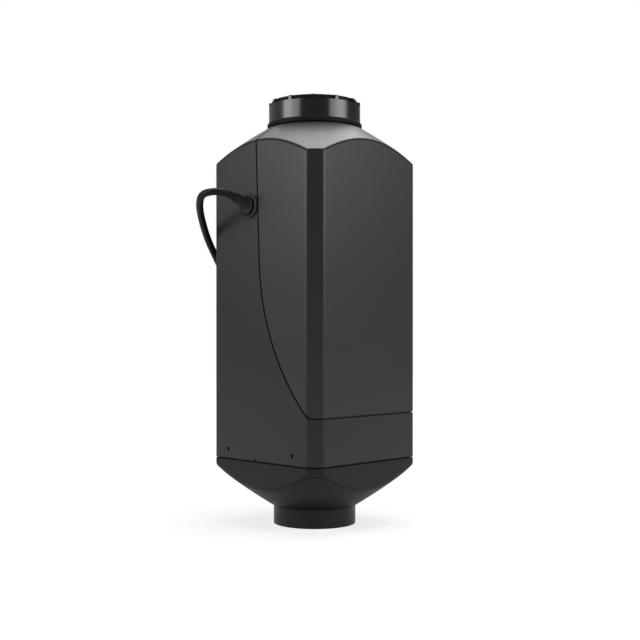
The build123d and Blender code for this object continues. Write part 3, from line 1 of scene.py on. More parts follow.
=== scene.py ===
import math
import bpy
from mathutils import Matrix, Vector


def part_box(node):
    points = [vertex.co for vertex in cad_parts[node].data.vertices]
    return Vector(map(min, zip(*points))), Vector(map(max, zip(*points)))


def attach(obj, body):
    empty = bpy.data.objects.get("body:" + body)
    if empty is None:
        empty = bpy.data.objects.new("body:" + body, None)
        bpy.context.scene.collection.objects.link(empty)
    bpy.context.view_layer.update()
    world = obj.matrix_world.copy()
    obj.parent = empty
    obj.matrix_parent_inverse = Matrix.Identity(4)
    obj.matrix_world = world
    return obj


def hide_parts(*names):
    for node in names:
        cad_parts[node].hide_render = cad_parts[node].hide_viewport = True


bl_info = {
    "name": "Diesel Air Heater",
    "version": (1, 0, 0),
    "blender": (4, 5, 0),
    "location": "View3D > Sidebar > Heater",
    "description": "Dresses a diesel air heater with its finishes, cable, grommet and studs",
    "category": "Object",
}

import bmesh
import bpy
from mathutils import Vector

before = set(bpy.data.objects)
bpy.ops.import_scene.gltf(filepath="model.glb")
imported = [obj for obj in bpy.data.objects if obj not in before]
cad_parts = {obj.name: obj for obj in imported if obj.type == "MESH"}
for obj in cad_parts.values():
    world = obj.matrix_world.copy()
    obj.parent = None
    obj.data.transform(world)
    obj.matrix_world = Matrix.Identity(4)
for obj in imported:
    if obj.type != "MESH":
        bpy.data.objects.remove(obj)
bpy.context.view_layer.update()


def linear(code):
    """An sRGB hex colour as linear red, green and blue."""
    parts = [int(code[i : i + 2], 16) / 255 for i in (1, 3, 5)]
    return tuple(c / 12.92 if c <= 0.04045 else ((c + 0.055) / 1.055) ** 2.4 for c in parts)


def colour_property(name, code, description):
    """A colour that the user may change."""
    return bpy.props.FloatVectorProperty(
        name=name, description=description, subtype="COLOR", size=3, min=0, max=1,
        default=linear(code),
    )


def length_property(name, millimetres, description):
    """A length that the user may change."""
    return bpy.props.FloatProperty(
        name=name, description=description, subtype="DISTANCE", unit="LENGTH", min=0,
        precision=5, default=millimetres / 1000,
    )


class HeaterSizes(bpy.types.PropertyGroup):
    """Sizes of the pieces that are made here."""

    cable_diameter: length_property("Cable diameter", 6.5, "Outside of the cable's jacket")
    flange_radius: length_property("Flange radius", 11.4, "Grommet's flange on the casing")
    flange_thickness: length_property("Flange thickness", 1.9, "How far the flange stands out")
    collar_radius: length_property("Collar radius", 7.2, "Ring at the root of the boot")
    groove_width: length_property("Groove width", 0.9, "Groove round the collar")
    groove_depth: length_property("Groove depth", 1.1, "Groove round the collar")
    seat_radius: length_property("Seat radius", 8.4, "Grommet's waist in the casing's hole")
    back_radius: length_property("Back radius", 10.6, "Grommet's lip inside the casing")
    casing_wall: length_property("Casing wall", 2.5, "Wall that the grommet grips")
    boot_root_radius: length_property("Boot root radius", 5.8, "Boot where it leaves the collar")
    boot_tip_radius: length_property("Boot tip radius", 4.4, "Boot where the cable leaves it")
    stud_radius: length_property("Stud radius", 3.0, "Outside of the mounting studs' thread")
    stud_pitch: length_property("Stud pitch", 1.0, "Pitch of the mounting studs' thread")
    grain: length_property("Moulded grain", 1.1, "Grain on the casing")
    lens: bpy.props.FloatProperty(
        name="Lens", description="Focal length of the camera", default=60.75, min=10,
        subtype="DISTANCE_CAMERA",
    )


class HeaterColours(bpy.types.PropertyGroup):
    """Colours of the finishes and the stage."""

    shell: colour_property("Shell", "#1e1e1f", "Lower shell")
    hood: colour_property("Hood", "#1e1e1f", "Outlet hood")
    cover: colour_property("Cover", "#232324", "Removable cover")
    cap: colour_property("Cap", "#151616", "Inlet cap")
    nylon: colour_property("Nylon", "#1d1d1e", "Glass-filled nylon pieces")
    fan: colour_property("Fan", "#242426", "Fan wheel and impeller")
    aluminium: colour_property("Aluminium", "#b4b6b8", "Castings")
    zinc: colour_property("Zinc", "#c3c4c8", "Plated fasteners")
    stainless: colour_property("Stainless", "#a9a49c", "Heat-tinted steel")
    graphite: colour_property("Graphite", "#3a3937", "Gaskets")
    copper: colour_property("Copper", "#a8561f", "Windings")
    ferrite: colour_property("Ferrite", "#2c2c2f", "Magnets")
    mask: colour_property("Solder mask", "#0f4a26", "Circuit board")
    rubber: colour_property("Rubber", "#121212", "Grommet")
    jacket: colour_property("Jacket", "#0f0f10", "Cable and leads")
    floor: colour_property("Floor", "#989898", "Floor")


# Where nearly all values of a noise texture lie
NOISE_RANGE = {"From Min": 0.3, "From Max": 0.7}
# Distance between a wave texture's bands at a scale of 1
WAVE_PERIOD = 2 * math.pi / 20
# Sockets of a mix of colours, since its other kinds have the same names: both inputs and
# the output
FIRST, SECOND, MIXED = 6, 7, 2
# Roughness of the thin gloss on the casing and the hood
GLOSS_ROUGHNESS = 0.38


def add_node(tree, kind, links=None, **settings):
    """Add a node with its settings, and its inputs as values or other nodes' outputs."""
    node = tree.nodes.new(kind)
    for name, value in settings.items():
        setattr(node, name, value)
    for name, value in (links or {}).items():
        if isinstance(value, bpy.types.NodeSocket):
            tree.links.new(value, node.inputs[name])
        else:
            node.inputs[name].default_value = value
    return node


def per_metre(millimetres):
    """Texture scale of a pattern whose features are this far apart."""
    return 1000 / millimetres


def shade(colour, amount=1):
    """A colour made lighter or darker, with the alpha that a node's colour takes."""
    return (*(min(1, c * amount) for c in colour), 1)


def new_material(name, **sockets):
    """A material with a Principled shader, whose even values are set on the shader itself,
    named with _ for a space. Its patterns follow the object's own coordinates."""
    material = bpy.data.materials.new(name)
    material.use_nodes = True
    tree = material.node_tree
    for socket, value in sockets.items():
        tree.nodes["Principled BSDF"].inputs[socket.replace("_", " ")].default_value = value
    coords = add_node(tree, "ShaderNodeTexCoord").outputs["Object"]
    return material, tree, coords


def link_shader(tree, **outputs):
    """Link nodes' outputs to the Principled shader's inputs, named with _ for a space."""
    for socket, output in outputs.items():
        tree.links.new(output, tree.nodes["Principled BSDF"].inputs[socket.replace("_", " ")])


def give(material, *nodes):
    """Put a material on CAD nodes, which keep their shape and place."""
    for name in nodes:
        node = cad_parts[name]
        node.data.materials.clear()
        node.data.materials.append(material)


def moulded_plastic(name, colour, roughness, grain, depth, specular=0.5, polish=()):
    """Moulded thermoplastic: even colour, faint flow marks and the tool's fine grain. The
    tool's polish leaves a thin gloss, given as steps of the normal's height, from -1 for
    down to 1 for up, and how much gloss there is on what faces so."""
    even = {"Coat_Roughness": GLOSS_ROUGHNESS} if polish else {}
    material, tree, coords = new_material(name, Specular_IOR_Level=specular, **even)
    flow = add_node(
        tree, "ShaderNodeTexNoise", {"Vector": coords, "Scale": per_metre(60), "Detail": 3.0}
    ).outputs["Fac"]
    # Mould grain is about 0.2 mm across on the real part; each piece has it at 1.1 mm or
    # more to show
    speckle = add_node(
        tree, "ShaderNodeTexNoise", {"Vector": coords, "Scale": 1 / grain, "Detail": 2.0}
    ).outputs["Fac"]
    both = add_node(tree, "ShaderNodeMix", {"Factor": 0.45, "A": flow, "B": speckle})
    marks = add_node(
        tree, "ShaderNodeMapRange", {"Value": both.outputs["Result"], **NOISE_RANGE}
    ).outputs["Result"]
    colours = add_node(
        tree, "ShaderNodeMix",
        {"Factor": marks, FIRST: shade(colour, 0.86), SECOND: shade(colour, 1.14)},
        data_type="RGBA",
    ).outputs[MIXED]
    rough = add_node(
        tree, "ShaderNodeMapRange",
        {"Value": speckle, **NOISE_RANGE, "To Min": roughness - 0.05, "To Max": roughness + 0.05},
    ).outputs["Result"]
    bump = add_node(
        tree, "ShaderNodeBump", {"Height": speckle, "Strength": 0.35, "Distance": depth}
    ).outputs["Normal"]
    link_shader(tree, Base_Color=colours, Roughness=rough, Normal=bump)
    if polish:
        normal = add_node(tree, "ShaderNodeNewGeometry").outputs["Normal"]
        tilt = add_node(tree, "ShaderNodeSeparateXYZ", {"Vector": normal}).outputs["Z"]
        facing = add_node(
            tree, "ShaderNodeMapRange", {"Value": tilt, "From Min": -1.0, "From Max": 1.0}
        ).outputs["Result"]
        ramp = add_node(tree, "ShaderNodeValToRGB", {"Fac": facing})
        stops = ramp.color_ramp.elements
        for stop, (_, gloss) in zip(stops, (polish[0], polish[-1])):
            stop.color = (gloss, gloss, gloss, 1)
        for height, gloss in polish:
            stops.new((height + 1) / 2).color = (gloss, gloss, gloss, 1)
        link_shader(tree, Coat_Weight=ramp.outputs["Color"])
    return material


def polished_cap(name, colour):
    """Black ABS: the skirt's skin is polished, and the grips round the rim, the flange at
    its foot and the inside are left matt."""
    material, tree, coords = new_material(
        name, Roughness=0.6, Specular_IOR_Level=0.1, Coat_Roughness=0.17
    )
    low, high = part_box("inlet_cap")
    # The polished skin lies outside this radius, which the grips and the inside don't
    # reach, and above the flange
    skin, flange_top = (high.x - low.x) / 2 - 0.0027, low.z + 0.0042
    place = add_node(tree, "ShaderNodeSeparateXYZ", {"Vector": coords}).outputs
    across = add_node(tree, "ShaderNodeCombineXYZ", {"X": place["X"], "Y": place["Y"]})
    radius = add_node(
        tree, "ShaderNodeVectorMath", {0: across.outputs["Vector"]}, operation="LENGTH"
    ).outputs["Value"]
    outside = add_node(
        tree, "ShaderNodeMath", {0: radius, 1: skin}, operation="GREATER_THAN"
    ).outputs["Value"]
    above = add_node(
        tree, "ShaderNodeMath", {0: place["Z"], 1: flange_top}, operation="GREATER_THAN"
    ).outputs["Value"]
    polished = add_node(
        tree, "ShaderNodeMath", {0: outside, 1: above}, operation="MULTIPLY"
    ).outputs["Value"]
    gloss = add_node(
        tree, "ShaderNodeMapRange", {"Value": polished, "To Max": 0.9}
    ).outputs["Result"]
    ripple = add_node(
        tree, "ShaderNodeTexNoise", {"Vector": coords, "Scale": per_metre(14), "Detail": 2.0}
    ).outputs["Fac"]
    marks = add_node(
        tree, "ShaderNodeMapRange", {"Value": ripple, **NOISE_RANGE}
    ).outputs["Result"]
    colours = add_node(
        tree, "ShaderNodeMix",
        {"Factor": marks, FIRST: shade(colour, 0.8), SECOND: shade(colour, 1.3)},
        data_type="RGBA",
    ).outputs[MIXED]
    rough = add_node(
        tree, "ShaderNodeMapRange",
        {"Value": ripple, **NOISE_RANGE, "To Min": 0.56, "To Max": 0.66},
    ).outputs["Result"]
    bump = add_node(
        tree, "ShaderNodeBump", {"Height": ripple, "Strength": 0.2, "Distance": 0.0001}
    ).outputs["Normal"]
    link_shader(
        tree, Base_Color=colours, Roughness=rough, Normal=bump, Coat_Weight=gloss,
        Coat_Normal=bump,
    )
    return material


def cast_aluminium(name, colour):
    """Die-cast aluminium, bead blasted: a dull grey metal with a pebbled face and darker
    blooms where the melt met the cold die."""
    material, tree, coords = new_material(name, Metallic=1.0)
    blooms = add_node(
        tree, "ShaderNodeTexNoise", {"Vector": coords, "Scale": per_metre(22), "Detail": 5.0}
    ).outputs["Fac"]
    # Blast marks are 0.2 mm across on the real part; they are drawn at 1.2 mm to show
    blast = add_node(
        tree, "ShaderNodeTexVoronoi", {"Vector": coords, "Scale": per_metre(1.2)}
    ).outputs["Distance"]
    marks = add_node(
        tree, "ShaderNodeMapRange", {"Value": blooms, **NOISE_RANGE}
    ).outputs["Result"]
    colours = add_node(
        tree, "ShaderNodeMix",
        {"Factor": marks, FIRST: shade(colour, 0.62), SECOND: shade(colour)},
        data_type="RGBA",
    ).outputs[MIXED]
    rough = add_node(
        tree, "ShaderNodeMapRange",
        {"Value": blooms, **NOISE_RANGE, "To Min": 0.62, "To Max": 0.46},
    ).outputs["Result"]
    bump = add_node(
        tree, "ShaderNodeBump", {"Height": blast, "Strength": 0.4, "Distance": 0.00015}
    ).outputs["Normal"]
    link_shader(tree, Base_Color=colours, Roughness=rough, Normal=bump)
    return material


def plated_steel(name, colour):
    """Mild steel, zinc plated and passivated: a bright blue-white metal with soft cloudy
    patches and fine drawing lines."""
    material, tree, coords = new_material(name, Metallic=1.0)
    clouds = add_node(
        tree, "ShaderNodeTexNoise", {"Vector": coords, "Scale": per_metre(7), "Detail": 3.0}
    ).outputs["Fac"]
    stretched = add_node(
        tree, "ShaderNodeMapping", {"Vector": coords, "Scale": (1.0, 1.0, 0.08)}
    ).outputs["Vector"]
    # Drawing lines are 0.05 mm apart on the real part; they are drawn at 0.8 mm to show
    lines = add_node(
        tree, "ShaderNodeTexNoise", {"Vector": stretched, "Scale": per_metre(0.8), "Detail": 1.0}
    ).outputs["Fac"]
    marks = add_node(
        tree, "ShaderNodeMapRange", {"Value": clouds, **NOISE_RANGE}
    ).outputs["Result"]
    # Passivation leaves a faint yellow
    yellowed = (colour[0], colour[1] * 0.97, colour[2] * 0.86)
    colours = add_node(
        tree, "ShaderNodeMix",
        {"Factor": marks, FIRST: shade(colour), SECOND: shade(yellowed, 0.85)},
        data_type="RGBA",
    ).outputs[MIXED]
    rough = add_node(
        tree, "ShaderNodeMapRange",
        {"Value": clouds, **NOISE_RANGE, "To Min": 0.24, "To Max": 0.40},
    ).outputs["Result"]
    bump = add_node(
        tree, "ShaderNodeBump", {"Height": lines, "Strength": 0.25, "Distance": 0.00005}
    ).outputs["Normal"]
    link_shader(tree, Base_Color=colours, Roughness=rough, Normal=bump)
    return material


def heat_tinted_steel(name, colour, hot_height, reach):
    """Stainless steel, drawn or rolled, and blued by heat: plain metal, then straw, then
    purple-brown at the height of the flame."""
    material, tree, coords = new_material(name, Metallic=1.0)
    ripple = add_node(
        tree, "ShaderNodeTexNoise", {"Vector": coords, "Scale": per_metre(9), "Detail": 4.0}
    ).outputs["Fac"]
    height = add_node(tree, "ShaderNodeSeparateXYZ", {"Vector": coords}).outputs["Z"]
    above = add_node(
        tree, "ShaderNodeMath", {0: height, 1: hot_height}, operation="SUBTRACT"
    ).outputs["Value"]
    away = add_node(tree, "ShaderNodeMath", {0: above}, operation="ABSOLUTE").outputs["Value"]
    near = add_node(
        tree, "ShaderNodeMapRange",
        {"Value": away, "From Max": reach, "To Min": 1.0, "To Max": 0.0},
    ).outputs["Result"]
    patches = add_node(
        tree, "ShaderNodeMapRange",
        {"Value": ripple, **NOISE_RANGE, "To Min": 0.5, "To Max": 1.2},
    ).outputs["Result"]
    heat = add_node(
        tree, "ShaderNodeMath", {0: near, 1: patches}, operation="MULTIPLY"
    ).outputs["Value"]
    straw = add_node(
        tree, "ShaderNodeMix",
        {"Factor": heat, FIRST: shade(colour), SECOND: shade(linear("#a98a55"))},
        data_type="RGBA",
    ).outputs[MIXED]
    hottest = add_node(
        tree, "ShaderNodeMapRange", {"Value": heat, "From Min": 0.55, "To Max": 0.8}
    ).outputs["Result"]
    blued = add_node(
        tree, "ShaderNodeMix",
        {"Factor": hottest, FIRST: straw, SECOND: shade(linear("#574a5e"))},
        data_type="RGBA",
    ).outputs[MIXED]
    rough = add_node(
        tree, "ShaderNodeMapRange",
        {"Value": ripple, **NOISE_RANGE, "To Min": 0.28, "To Max": 0.42},
    ).outputs["Result"]
    bump = add_node(
        tree, "ShaderNodeBump", {"Height": ripple, "Strength": 0.15, "Distance": 0.0001}
    ).outputs["Normal"]
    link_shader(tree, Base_Color=blued, Roughness=rough, Normal=bump)
    return material


def fibre_sheet(name, colour):
    """Graphite-faced fibre gasket, stamped: matt dark grey with short pressed fibres."""
    material, tree, coords = new_material(name, Specular_IOR_Level=0.3)
    # Fibres are 0.1 mm thick on the real part; they are drawn 1.26 mm apart to show
    scale = per_metre(1.2566) * WAVE_PERIOD
    fibres = add_node(
        tree, "ShaderNodeTexWave",
        {"Vector": coords, "Scale": scale, "Distortion": 14.0, "Detail": 3.0,
         "Detail Scale": 2.0},
    ).outputs["Fac"]
    colours = add_node(
        tree, "ShaderNodeMix",
        {"Factor": fibres, FIRST: shade(colour, 0.7), SECOND: shade(colour, 1.3)},
        data_type="RGBA",
    ).outputs[MIXED]
    rough = add_node(
        tree, "ShaderNodeMapRange",
        {"Value": fibres, **NOISE_RANGE, "To Min": 0.72, "To Max": 0.9},
    ).outputs["Result"]
    bump = add_node(
        tree, "ShaderNodeBump", {"Height": fibres, "Strength": 0.5, "Distance": 0.0001}
    ).outputs["Normal"]
    link_shader(tree, Base_Color=colours, Roughness=rough, Normal=bump)
    return material


def moulded_rubber(name, colour, roughness, skin, specular=0.25):
    """Rubber or soft vinyl: deep matt black with a bloom of lighter dust, and a faintly
    uneven skin, whose hollows lie this many millimetres apart."""
    material, tree, coords = new_material(name, Specular_IOR_Level=specular)
    bloom = add_node(
        tree, "ShaderNodeTexNoise", {"Vector": coords, "Scale": per_metre(6), "Detail": 4.0}
    ).outputs["Fac"]
    hollows = add_node(
        tree, "ShaderNodeTexNoise", {"Vector": coords, "Scale": per_metre(skin), "Detail": 2.0}
    ).outputs["Fac"]
    marks = add_node(
        tree, "ShaderNodeMapRange", {"Value": bloom, **NOISE_RANGE}
    ).outputs["Result"]
    colours = add_node(
        tree, "ShaderNodeMix",
        {"Factor": marks, FIRST: shade(colour, 0.8), SECOND: shade(colour, 1.5)},
        data_type="RGBA",
    ).outputs[MIXED]
    rough = add_node(
        tree, "ShaderNodeMapRange",
        {"Value": bloom, **NOISE_RANGE, "To Min": roughness - 0.08, "To Max": roughness + 0.08},
    ).outputs["Result"]
    bump = add_node(
        tree, "ShaderNodeBump", {"Height": hollows, "Strength": 0.25, "Distance": 0.0001}
    ).outputs["Normal"]
    link_shader(tree, Base_Color=colours, Roughness=rough, Normal=bump)
    return material


def sintered_ferrite(name, colour):
    """Sintered and ground ferrite: a charcoal ceramic, dull, with fine open pores."""
    material, tree, coords = new_material(name, Roughness=0.55)
    # Pores are 0.1 mm across on the real part; they are drawn at 0.8 mm to show
    pores = add_node(
        tree, "ShaderNodeTexVoronoi", {"Vector": coords, "Scale": per_metre(0.8)}
    ).outputs["Distance"]
    colours = add_node(
        tree, "ShaderNodeMix",
        {"Factor": pores, FIRST: shade(colour, 0.75), SECOND: shade(colour, 1.2)},
        data_type="RGBA",
    ).outputs[MIXED]
    bump = add_node(
        tree, "ShaderNodeBump", {"Height": pores, "Strength": 0.2, "Distance": 0.0001}
    ).outputs["Normal"]
    link_shader(tree, Base_Color=colours, Normal=bump)
    return material


def wound_armature(name, copper):
    """Varnished copper ends on a stack of steel laminations, with a turned copper
    commutator on top: orange-brown, then fine grey layers."""
    material, tree, coords = new_material(name, Metallic=1.0)
    low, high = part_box("armature")
    # The stack's middle and half its height
    middle, half = (low.z + high.z) / 2 - 0.0025, 0.011
    height = add_node(tree, "ShaderNodeSeparateXYZ", {"Vector": coords}).outputs["Z"]
    core = add_node(
        tree, "ShaderNodeMath", {0: height, 1: middle, 2: half}, operation="COMPARE"
    ).outputs["Value"]
    # Laminations are 0.5 mm thick on the real part; they are drawn at 3 mm to show
    layers = add_node(
        tree, "ShaderNodeTexWave", {"Vector": coords, "Scale": per_metre(2.961) * WAVE_PERIOD},
        bands_direction="Z",
    ).outputs["Fac"]
    turns = add_node(
        tree, "ShaderNodeTexNoise", {"Vector": coords, "Scale": per_metre(1.5), "Detail": 1.0}
    ).outputs["Fac"]
    marks = add_node(
        tree, "ShaderNodeMapRange", {"Value": turns, **NOISE_RANGE}
    ).outputs["Result"]
    steel = add_node(
        tree, "ShaderNodeMix",
        {"Factor": layers, FIRST: shade(linear("#5c5c60")), SECOND: shade(linear("#8e8e92"))},
        data_type="RGBA",
    ).outputs[MIXED]
    wire = add_node(
        tree, "ShaderNodeMix",
        {"Factor": marks, FIRST: shade(copper, 0.6), SECOND: shade(copper, 1.3)},
        data_type="RGBA",
    ).outputs[MIXED]
    colours = add_node(
        tree, "ShaderNodeMix", {"Factor": core, FIRST: wire, SECOND: steel}, data_type="RGBA"
    ).outputs[MIXED]
    rough = add_node(
        tree, "ShaderNodeMapRange",
        {"Value": turns, **NOISE_RANGE, "To Min": 0.3, "To Max": 0.5},
    ).outputs["Result"]
    bump = add_node(
        tree, "ShaderNodeBump", {"Height": layers, "Strength": 0.4, "Distance": 0.0002}
    ).outputs["Normal"]
    link_shader(tree, Base_Color=colours, Roughness=rough, Normal=bump)
    return material


def solder_masked_board(name, mask):
    """Glass-epoxy board, etched and coated with green solder mask: glossy, with paler
    tracks, and black moulded parts standing on it."""
    material, tree, coords = new_material(name)
    # Where the board ends and what stands on it begins
    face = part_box("circuit_board")[0].x + 0.0017
    across = add_node(tree, "ShaderNodeSeparateXYZ", {"Vector": coords}).outputs["X"]
    parts = add_node(
        tree, "ShaderNodeMath", {0: across, 1: face}, operation="GREATER_THAN"
    ).outputs["Value"]
    # The texture's rows are a quarter of its scale: tracks are 1 mm apart
    tracks = add_node(
        tree, "ShaderNodeTexBrick",
        {"Vector": coords, "Scale": per_metre(4), "Mortar Size": 0.12, "Color1": shade(mask),
         "Color2": shade(mask, 0.8), "Mortar": shade(mask, 2.2)},
    ).outputs["Color"]
    colours = add_node(
        tree, "ShaderNodeMix",
        {"Factor": parts, FIRST: tracks, SECOND: shade(linear("#18181a"))},
        data_type="RGBA",
    ).outputs[MIXED]
    rough = add_node(
        tree, "ShaderNodeMapRange", {"Value": parts, "To Min": 0.22, "To Max": 0.45}
    ).outputs["Result"]
    link_shader(tree, Base_Color=colours, Roughness=rough)
    return material


def mesh_object(name, mesh_data, material):
    """Link a new object with this mesh and material."""
    mesh = bpy.data.meshes.new(name)
    mesh_data.to_mesh(mesh)
    mesh_data.free()
    mesh.materials.append(material)
    piece = bpy.data.objects.new(name, mesh)
    bpy.context.scene.collection.objects.link(piece)
    return piece


# Edges sharper than this stay crisp on the pieces made here, in degrees
CRISP_EDGE = 38


def finish_mesh(name, mesh_data, material, body, slot, *nodes):
    """Make a smooth piece of a mesh and put it in the place of CAD nodes."""
    piece = mesh_object(name, mesh_data, material)
    piece.data.shade_smooth()
    piece.data.set_sharp_from_angle(angle=math.radians(CRISP_EDGE))
    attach(piece, body)
    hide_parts(*nodes)


def skin_rings(mesh_data, rings):
    """Join rings of points into one closed skin, with a face over each end."""
    rows = [[mesh_data.verts.new(point) for point in ring] for ring in rings]
    for first, second in zip(rows, rows[1:]):
        for i, _ in enumerate(first):
            j = (i + 1) % len(first)
            mesh_data.faces.new((first[i], first[j], second[j], second[i]))
    mesh_data.faces.new(reversed(rows[0]))
    mesh_data.faces.new(rows[-1])


def ring(centre, axis, radius, count=48):
    """Points of a circle about an axis."""
    axis = Vector(axis).normalized()
    side = axis.orthogonal().normalized()
    other = axis.cross(side)
    turns = [2 * math.pi * i / count for i in range(count)]
    return [
        Vector(centre) + radius * (side * math.cos(turn) + other * math.sin(turn))
        for turn in turns
    ]


# Where the camera stands, as fitted to the photograph: degrees round from the -Y face,
# metres from the heater's axis and above the floor; its shift right and up in the frame's
# pixels, and its sensor's width in millimetres
CAMERA_TURN = 44.76
CAMERA_DISTANCE = 1.0
CAMERA_HEIGHT = 0.1775
CAMERA_SHIFT = (5.4, 10)
FRAME_WIDTH = 640
SENSOR_WIDTH = 36


class HEATER_OT_camera(bpy.types.Operator):
    """Set the camera where the photograph was taken from"""

    bl_idname = "heater.camera"
    bl_label = "Camera"

    def execute(self, context):
        data = bpy.data.cameras.new("camera")
        data.lens = context.scene.heater_sizes.lens
        data.sensor_width = SENSOR_WIDTH
        data.shift_x, data.shift_y = (pixels / FRAME_WIDTH for pixels in CAMERA_SHIFT)
        data.clip_end = 50
        camera = bpy.data.objects.new("camera", data)
        context.scene.collection.objects.link(camera)
        turn = math.radians(CAMERA_TURN)
        camera.location = (
            CAMERA_DISTANCE * math.sin(turn), -CAMERA_DISTANCE * math.cos(turn), CAMERA_HEIGHT
        )
        camera.rotation_euler = (math.radians(90), 0, turn)
        context.scene.camera = camera
        return {"FINISHED"}


# The grommet's place on the casing's face: along it and up
GROMMET_PLACE = (-0.013, 0.2877)

# The cable's route, near the solid's: out of the boot, folded over and down behind the
# casing, beside the mounting foot
CABLE_ROUTE = (
    (-0.0155, -0.0845, 0.2945),
    (-0.0178, -0.0946, 0.2986),
    (-0.0244, -0.1036, 0.2986),
    (-0.0352, -0.1061, 0.2966),
    (-0.0459, -0.0996, 0.2886),
    (-0.0569, -0.0882, 0.2785),
    (-0.0699, -0.0703, 0.2615),
    (-0.0758, -0.0551, 0.2458),
    (-0.0778, -0.0415, 0.2268),
    (-0.0787, -0.0392, 0.2031),
    (-0.0788, -0.0424, 0.1800),
    (-0.0794, -0.0456, 0.1580),
    (-0.0794, -0.0446, 0.1360),
    (-0.0788, -0.0395, 0.1150),
    (-0.0785, -0.0320, 0.0960),
    (-0.0785, -0.0320, 0.0770),
)


class HEATER_OT_cable(bpy.types.Operator):
    """Make the cable and finish its connector"""

    bl_idname = "heater.cable"
    bl_label = "Cable"

    def execute(self, context):
        sizes, colours = context.scene.heater_sizes, context.scene.heater_colours
        data = bpy.data.curves.new("heater_cable", "CURVE")
        data.dimensions = "3D"
        data.bevel_depth = sizes.cable_diameter / 2
        data.bevel_resolution = 6
        data.resolution_u = 14
        data.use_fill_caps = True
        spline = data.splines.new("NURBS")
        spline.points.add(len(CABLE_ROUTE) - 1)
        for point, place in zip(spline.points, CABLE_ROUTE):
            point.co = (*place, 1)
        spline.order_u = 3
        spline.use_endpoint_u = True
        data.materials.append(
            moulded_rubber(
                "extruded_vinyl_jacket", colours.jacket, roughness=0.42, skin=1.5, specular=0.15
            )
        )
        cable = bpy.data.objects.new("heater_cable", data)
        context.scene.collection.objects.link(cable)
        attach(cable, "heater_body")
        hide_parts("cable")
        give(
            moulded_plastic(
                "moulded_nylon_connector", colours.nylon, roughness=0.4, grain=0.0012,
                depth=0.00006,
            ),
            "cable_connector",
        )
        return {"FINISHED"}


class HEATER_OT_casing(bpy.types.Operator):
    """Finish the lower shell, the outlet hood and the removable cover"""

    bl_idname = "heater.casing"
    bl_label = "Casing"

    def execute(self, context):
        sizes, colours = context.scene.heater_sizes, context.scene.heater_colours
        # Both halves are polished on their upright faces and the shoulder, and not on the
        # rounded edges between these
        for name, node, colour, roughness, upright in (
            ("moulded_abs_shell", "lower_shell", colours.shell, 0.46, 0.5),
            ("moulded_abs_cover", "cover_shell", colours.cover, 0.44, 0.58),
        ):
            plastic = moulded_plastic(
                name, colour, roughness, sizes.grain, depth=0.00008, specular=0.12,
                polish=((0.08, upright), (0.2, 0.0), (0.5, 0.0), (0.66, 1.0)),
            )
            give(plastic, node)
        give(
            moulded_plastic(
                "moulded_nylon_hood", colours.hood, 0.5, sizes.grain, depth=0.0001,
                specular=0.05, polish=((-0.6, 0.1), (-0.3, 0.34)),
            ),
            "outlet_hood",
        )
        return {"FINISHED"}


class HEATER_OT_cap(bpy.types.Operator):
    """Finish the glossy inlet cap"""

    bl_idname = "heater.cap"
    bl_label = "Inlet cap"

    def execute(self, context):
        colours = context.scene.heater_colours
        give(polished_cap("polished_abs_cap", colours.cap), "inlet_cap")
        return {"FINISHED"}


class HEATER_OT_grommet(bpy.types.Operator):
    """Make the rubber grommet with its tapered boot"""

    bl_idname = "heater.grommet"
    bl_label = "Cable grommet"

    def execute(self, context):
        sizes, colours = context.scene.heater_sizes, context.scene.heater_colours
        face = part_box("lower_shell")[0].y
        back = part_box("cable_grommet")[1].y - face
        root = Vector((GROMMET_PLACE[0], face, GROMMET_PLACE[1]))
        tip = Vector(CABLE_ROUTE[0])
        out = Vector((0, -1, 0))
        boot = (tip - root).normalized()
        flange, proud, collar = sizes.flange_radius, sizes.flange_thickness, sizes.collar_radius
        groove, depth = sizes.groove_width, sizes.groove_depth
        seat, lip, wall = sizes.seat_radius, sizes.back_radius, sizes.casing_wall
        # How far the small edges and the two large ones are rounded
        soft, edge = 0.0003, 0.0012
        # Steps out of the casing and radii: seated lip, waist, flange, groove and collar
        profile = [
            (-back, lip - 2 * soft), (-back + soft, lip), (-wall - soft, lip), (-wall, seat),
            (0, seat), (0, flange), (proud * 0.4, flange), (proud * 0.75, flange - soft),
            (proud, flange - edge), (proud, collar + groove + soft),
            (proud - soft, collar + groove), (proud - depth, collar + groove - soft / 3),
            (proud - depth, collar + soft / 3), (proud, collar),
            (2 * proud - 2 * soft, collar), (2 * proud - soft, collar - soft),
            (2 * proud, collar - edge),
        ]
        rings = [ring(root + out * step, out, radius) for step, radius in profile]
        # The boot starts on the collar and turns from the casing's face to its own direction,
        # and its sides curve in a little
        start = 2 * proud + 2 * soft
        run = (tip - root).length - start
        rows = 8
        for row in range(rows + 1):
            share = row / rows
            axis = out.lerp(boot, min(1, 0.4 + share))
            radius = sizes.boot_root_radius * (1 - share) + sizes.boot_tip_radius * share
            radius *= 1 - 0.04 * math.sin(math.pi * share)
            rings.append(ring(root + boot * (start + share * run), axis, radius))
        mesh_data = bmesh.new()
        skin_rings(mesh_data, rings)
        bmesh.ops.recalc_face_normals(mesh_data, faces=mesh_data.faces)
        finish_mesh(
            "grommet_with_boot", mesh_data,
            moulded_rubber("moulded_epdm_rubber", colours.rubber, roughness=0.5, skin=1.3),
            "heater_body", "rubber", "cable_grommet",
        )
        return {"FINISHED"}


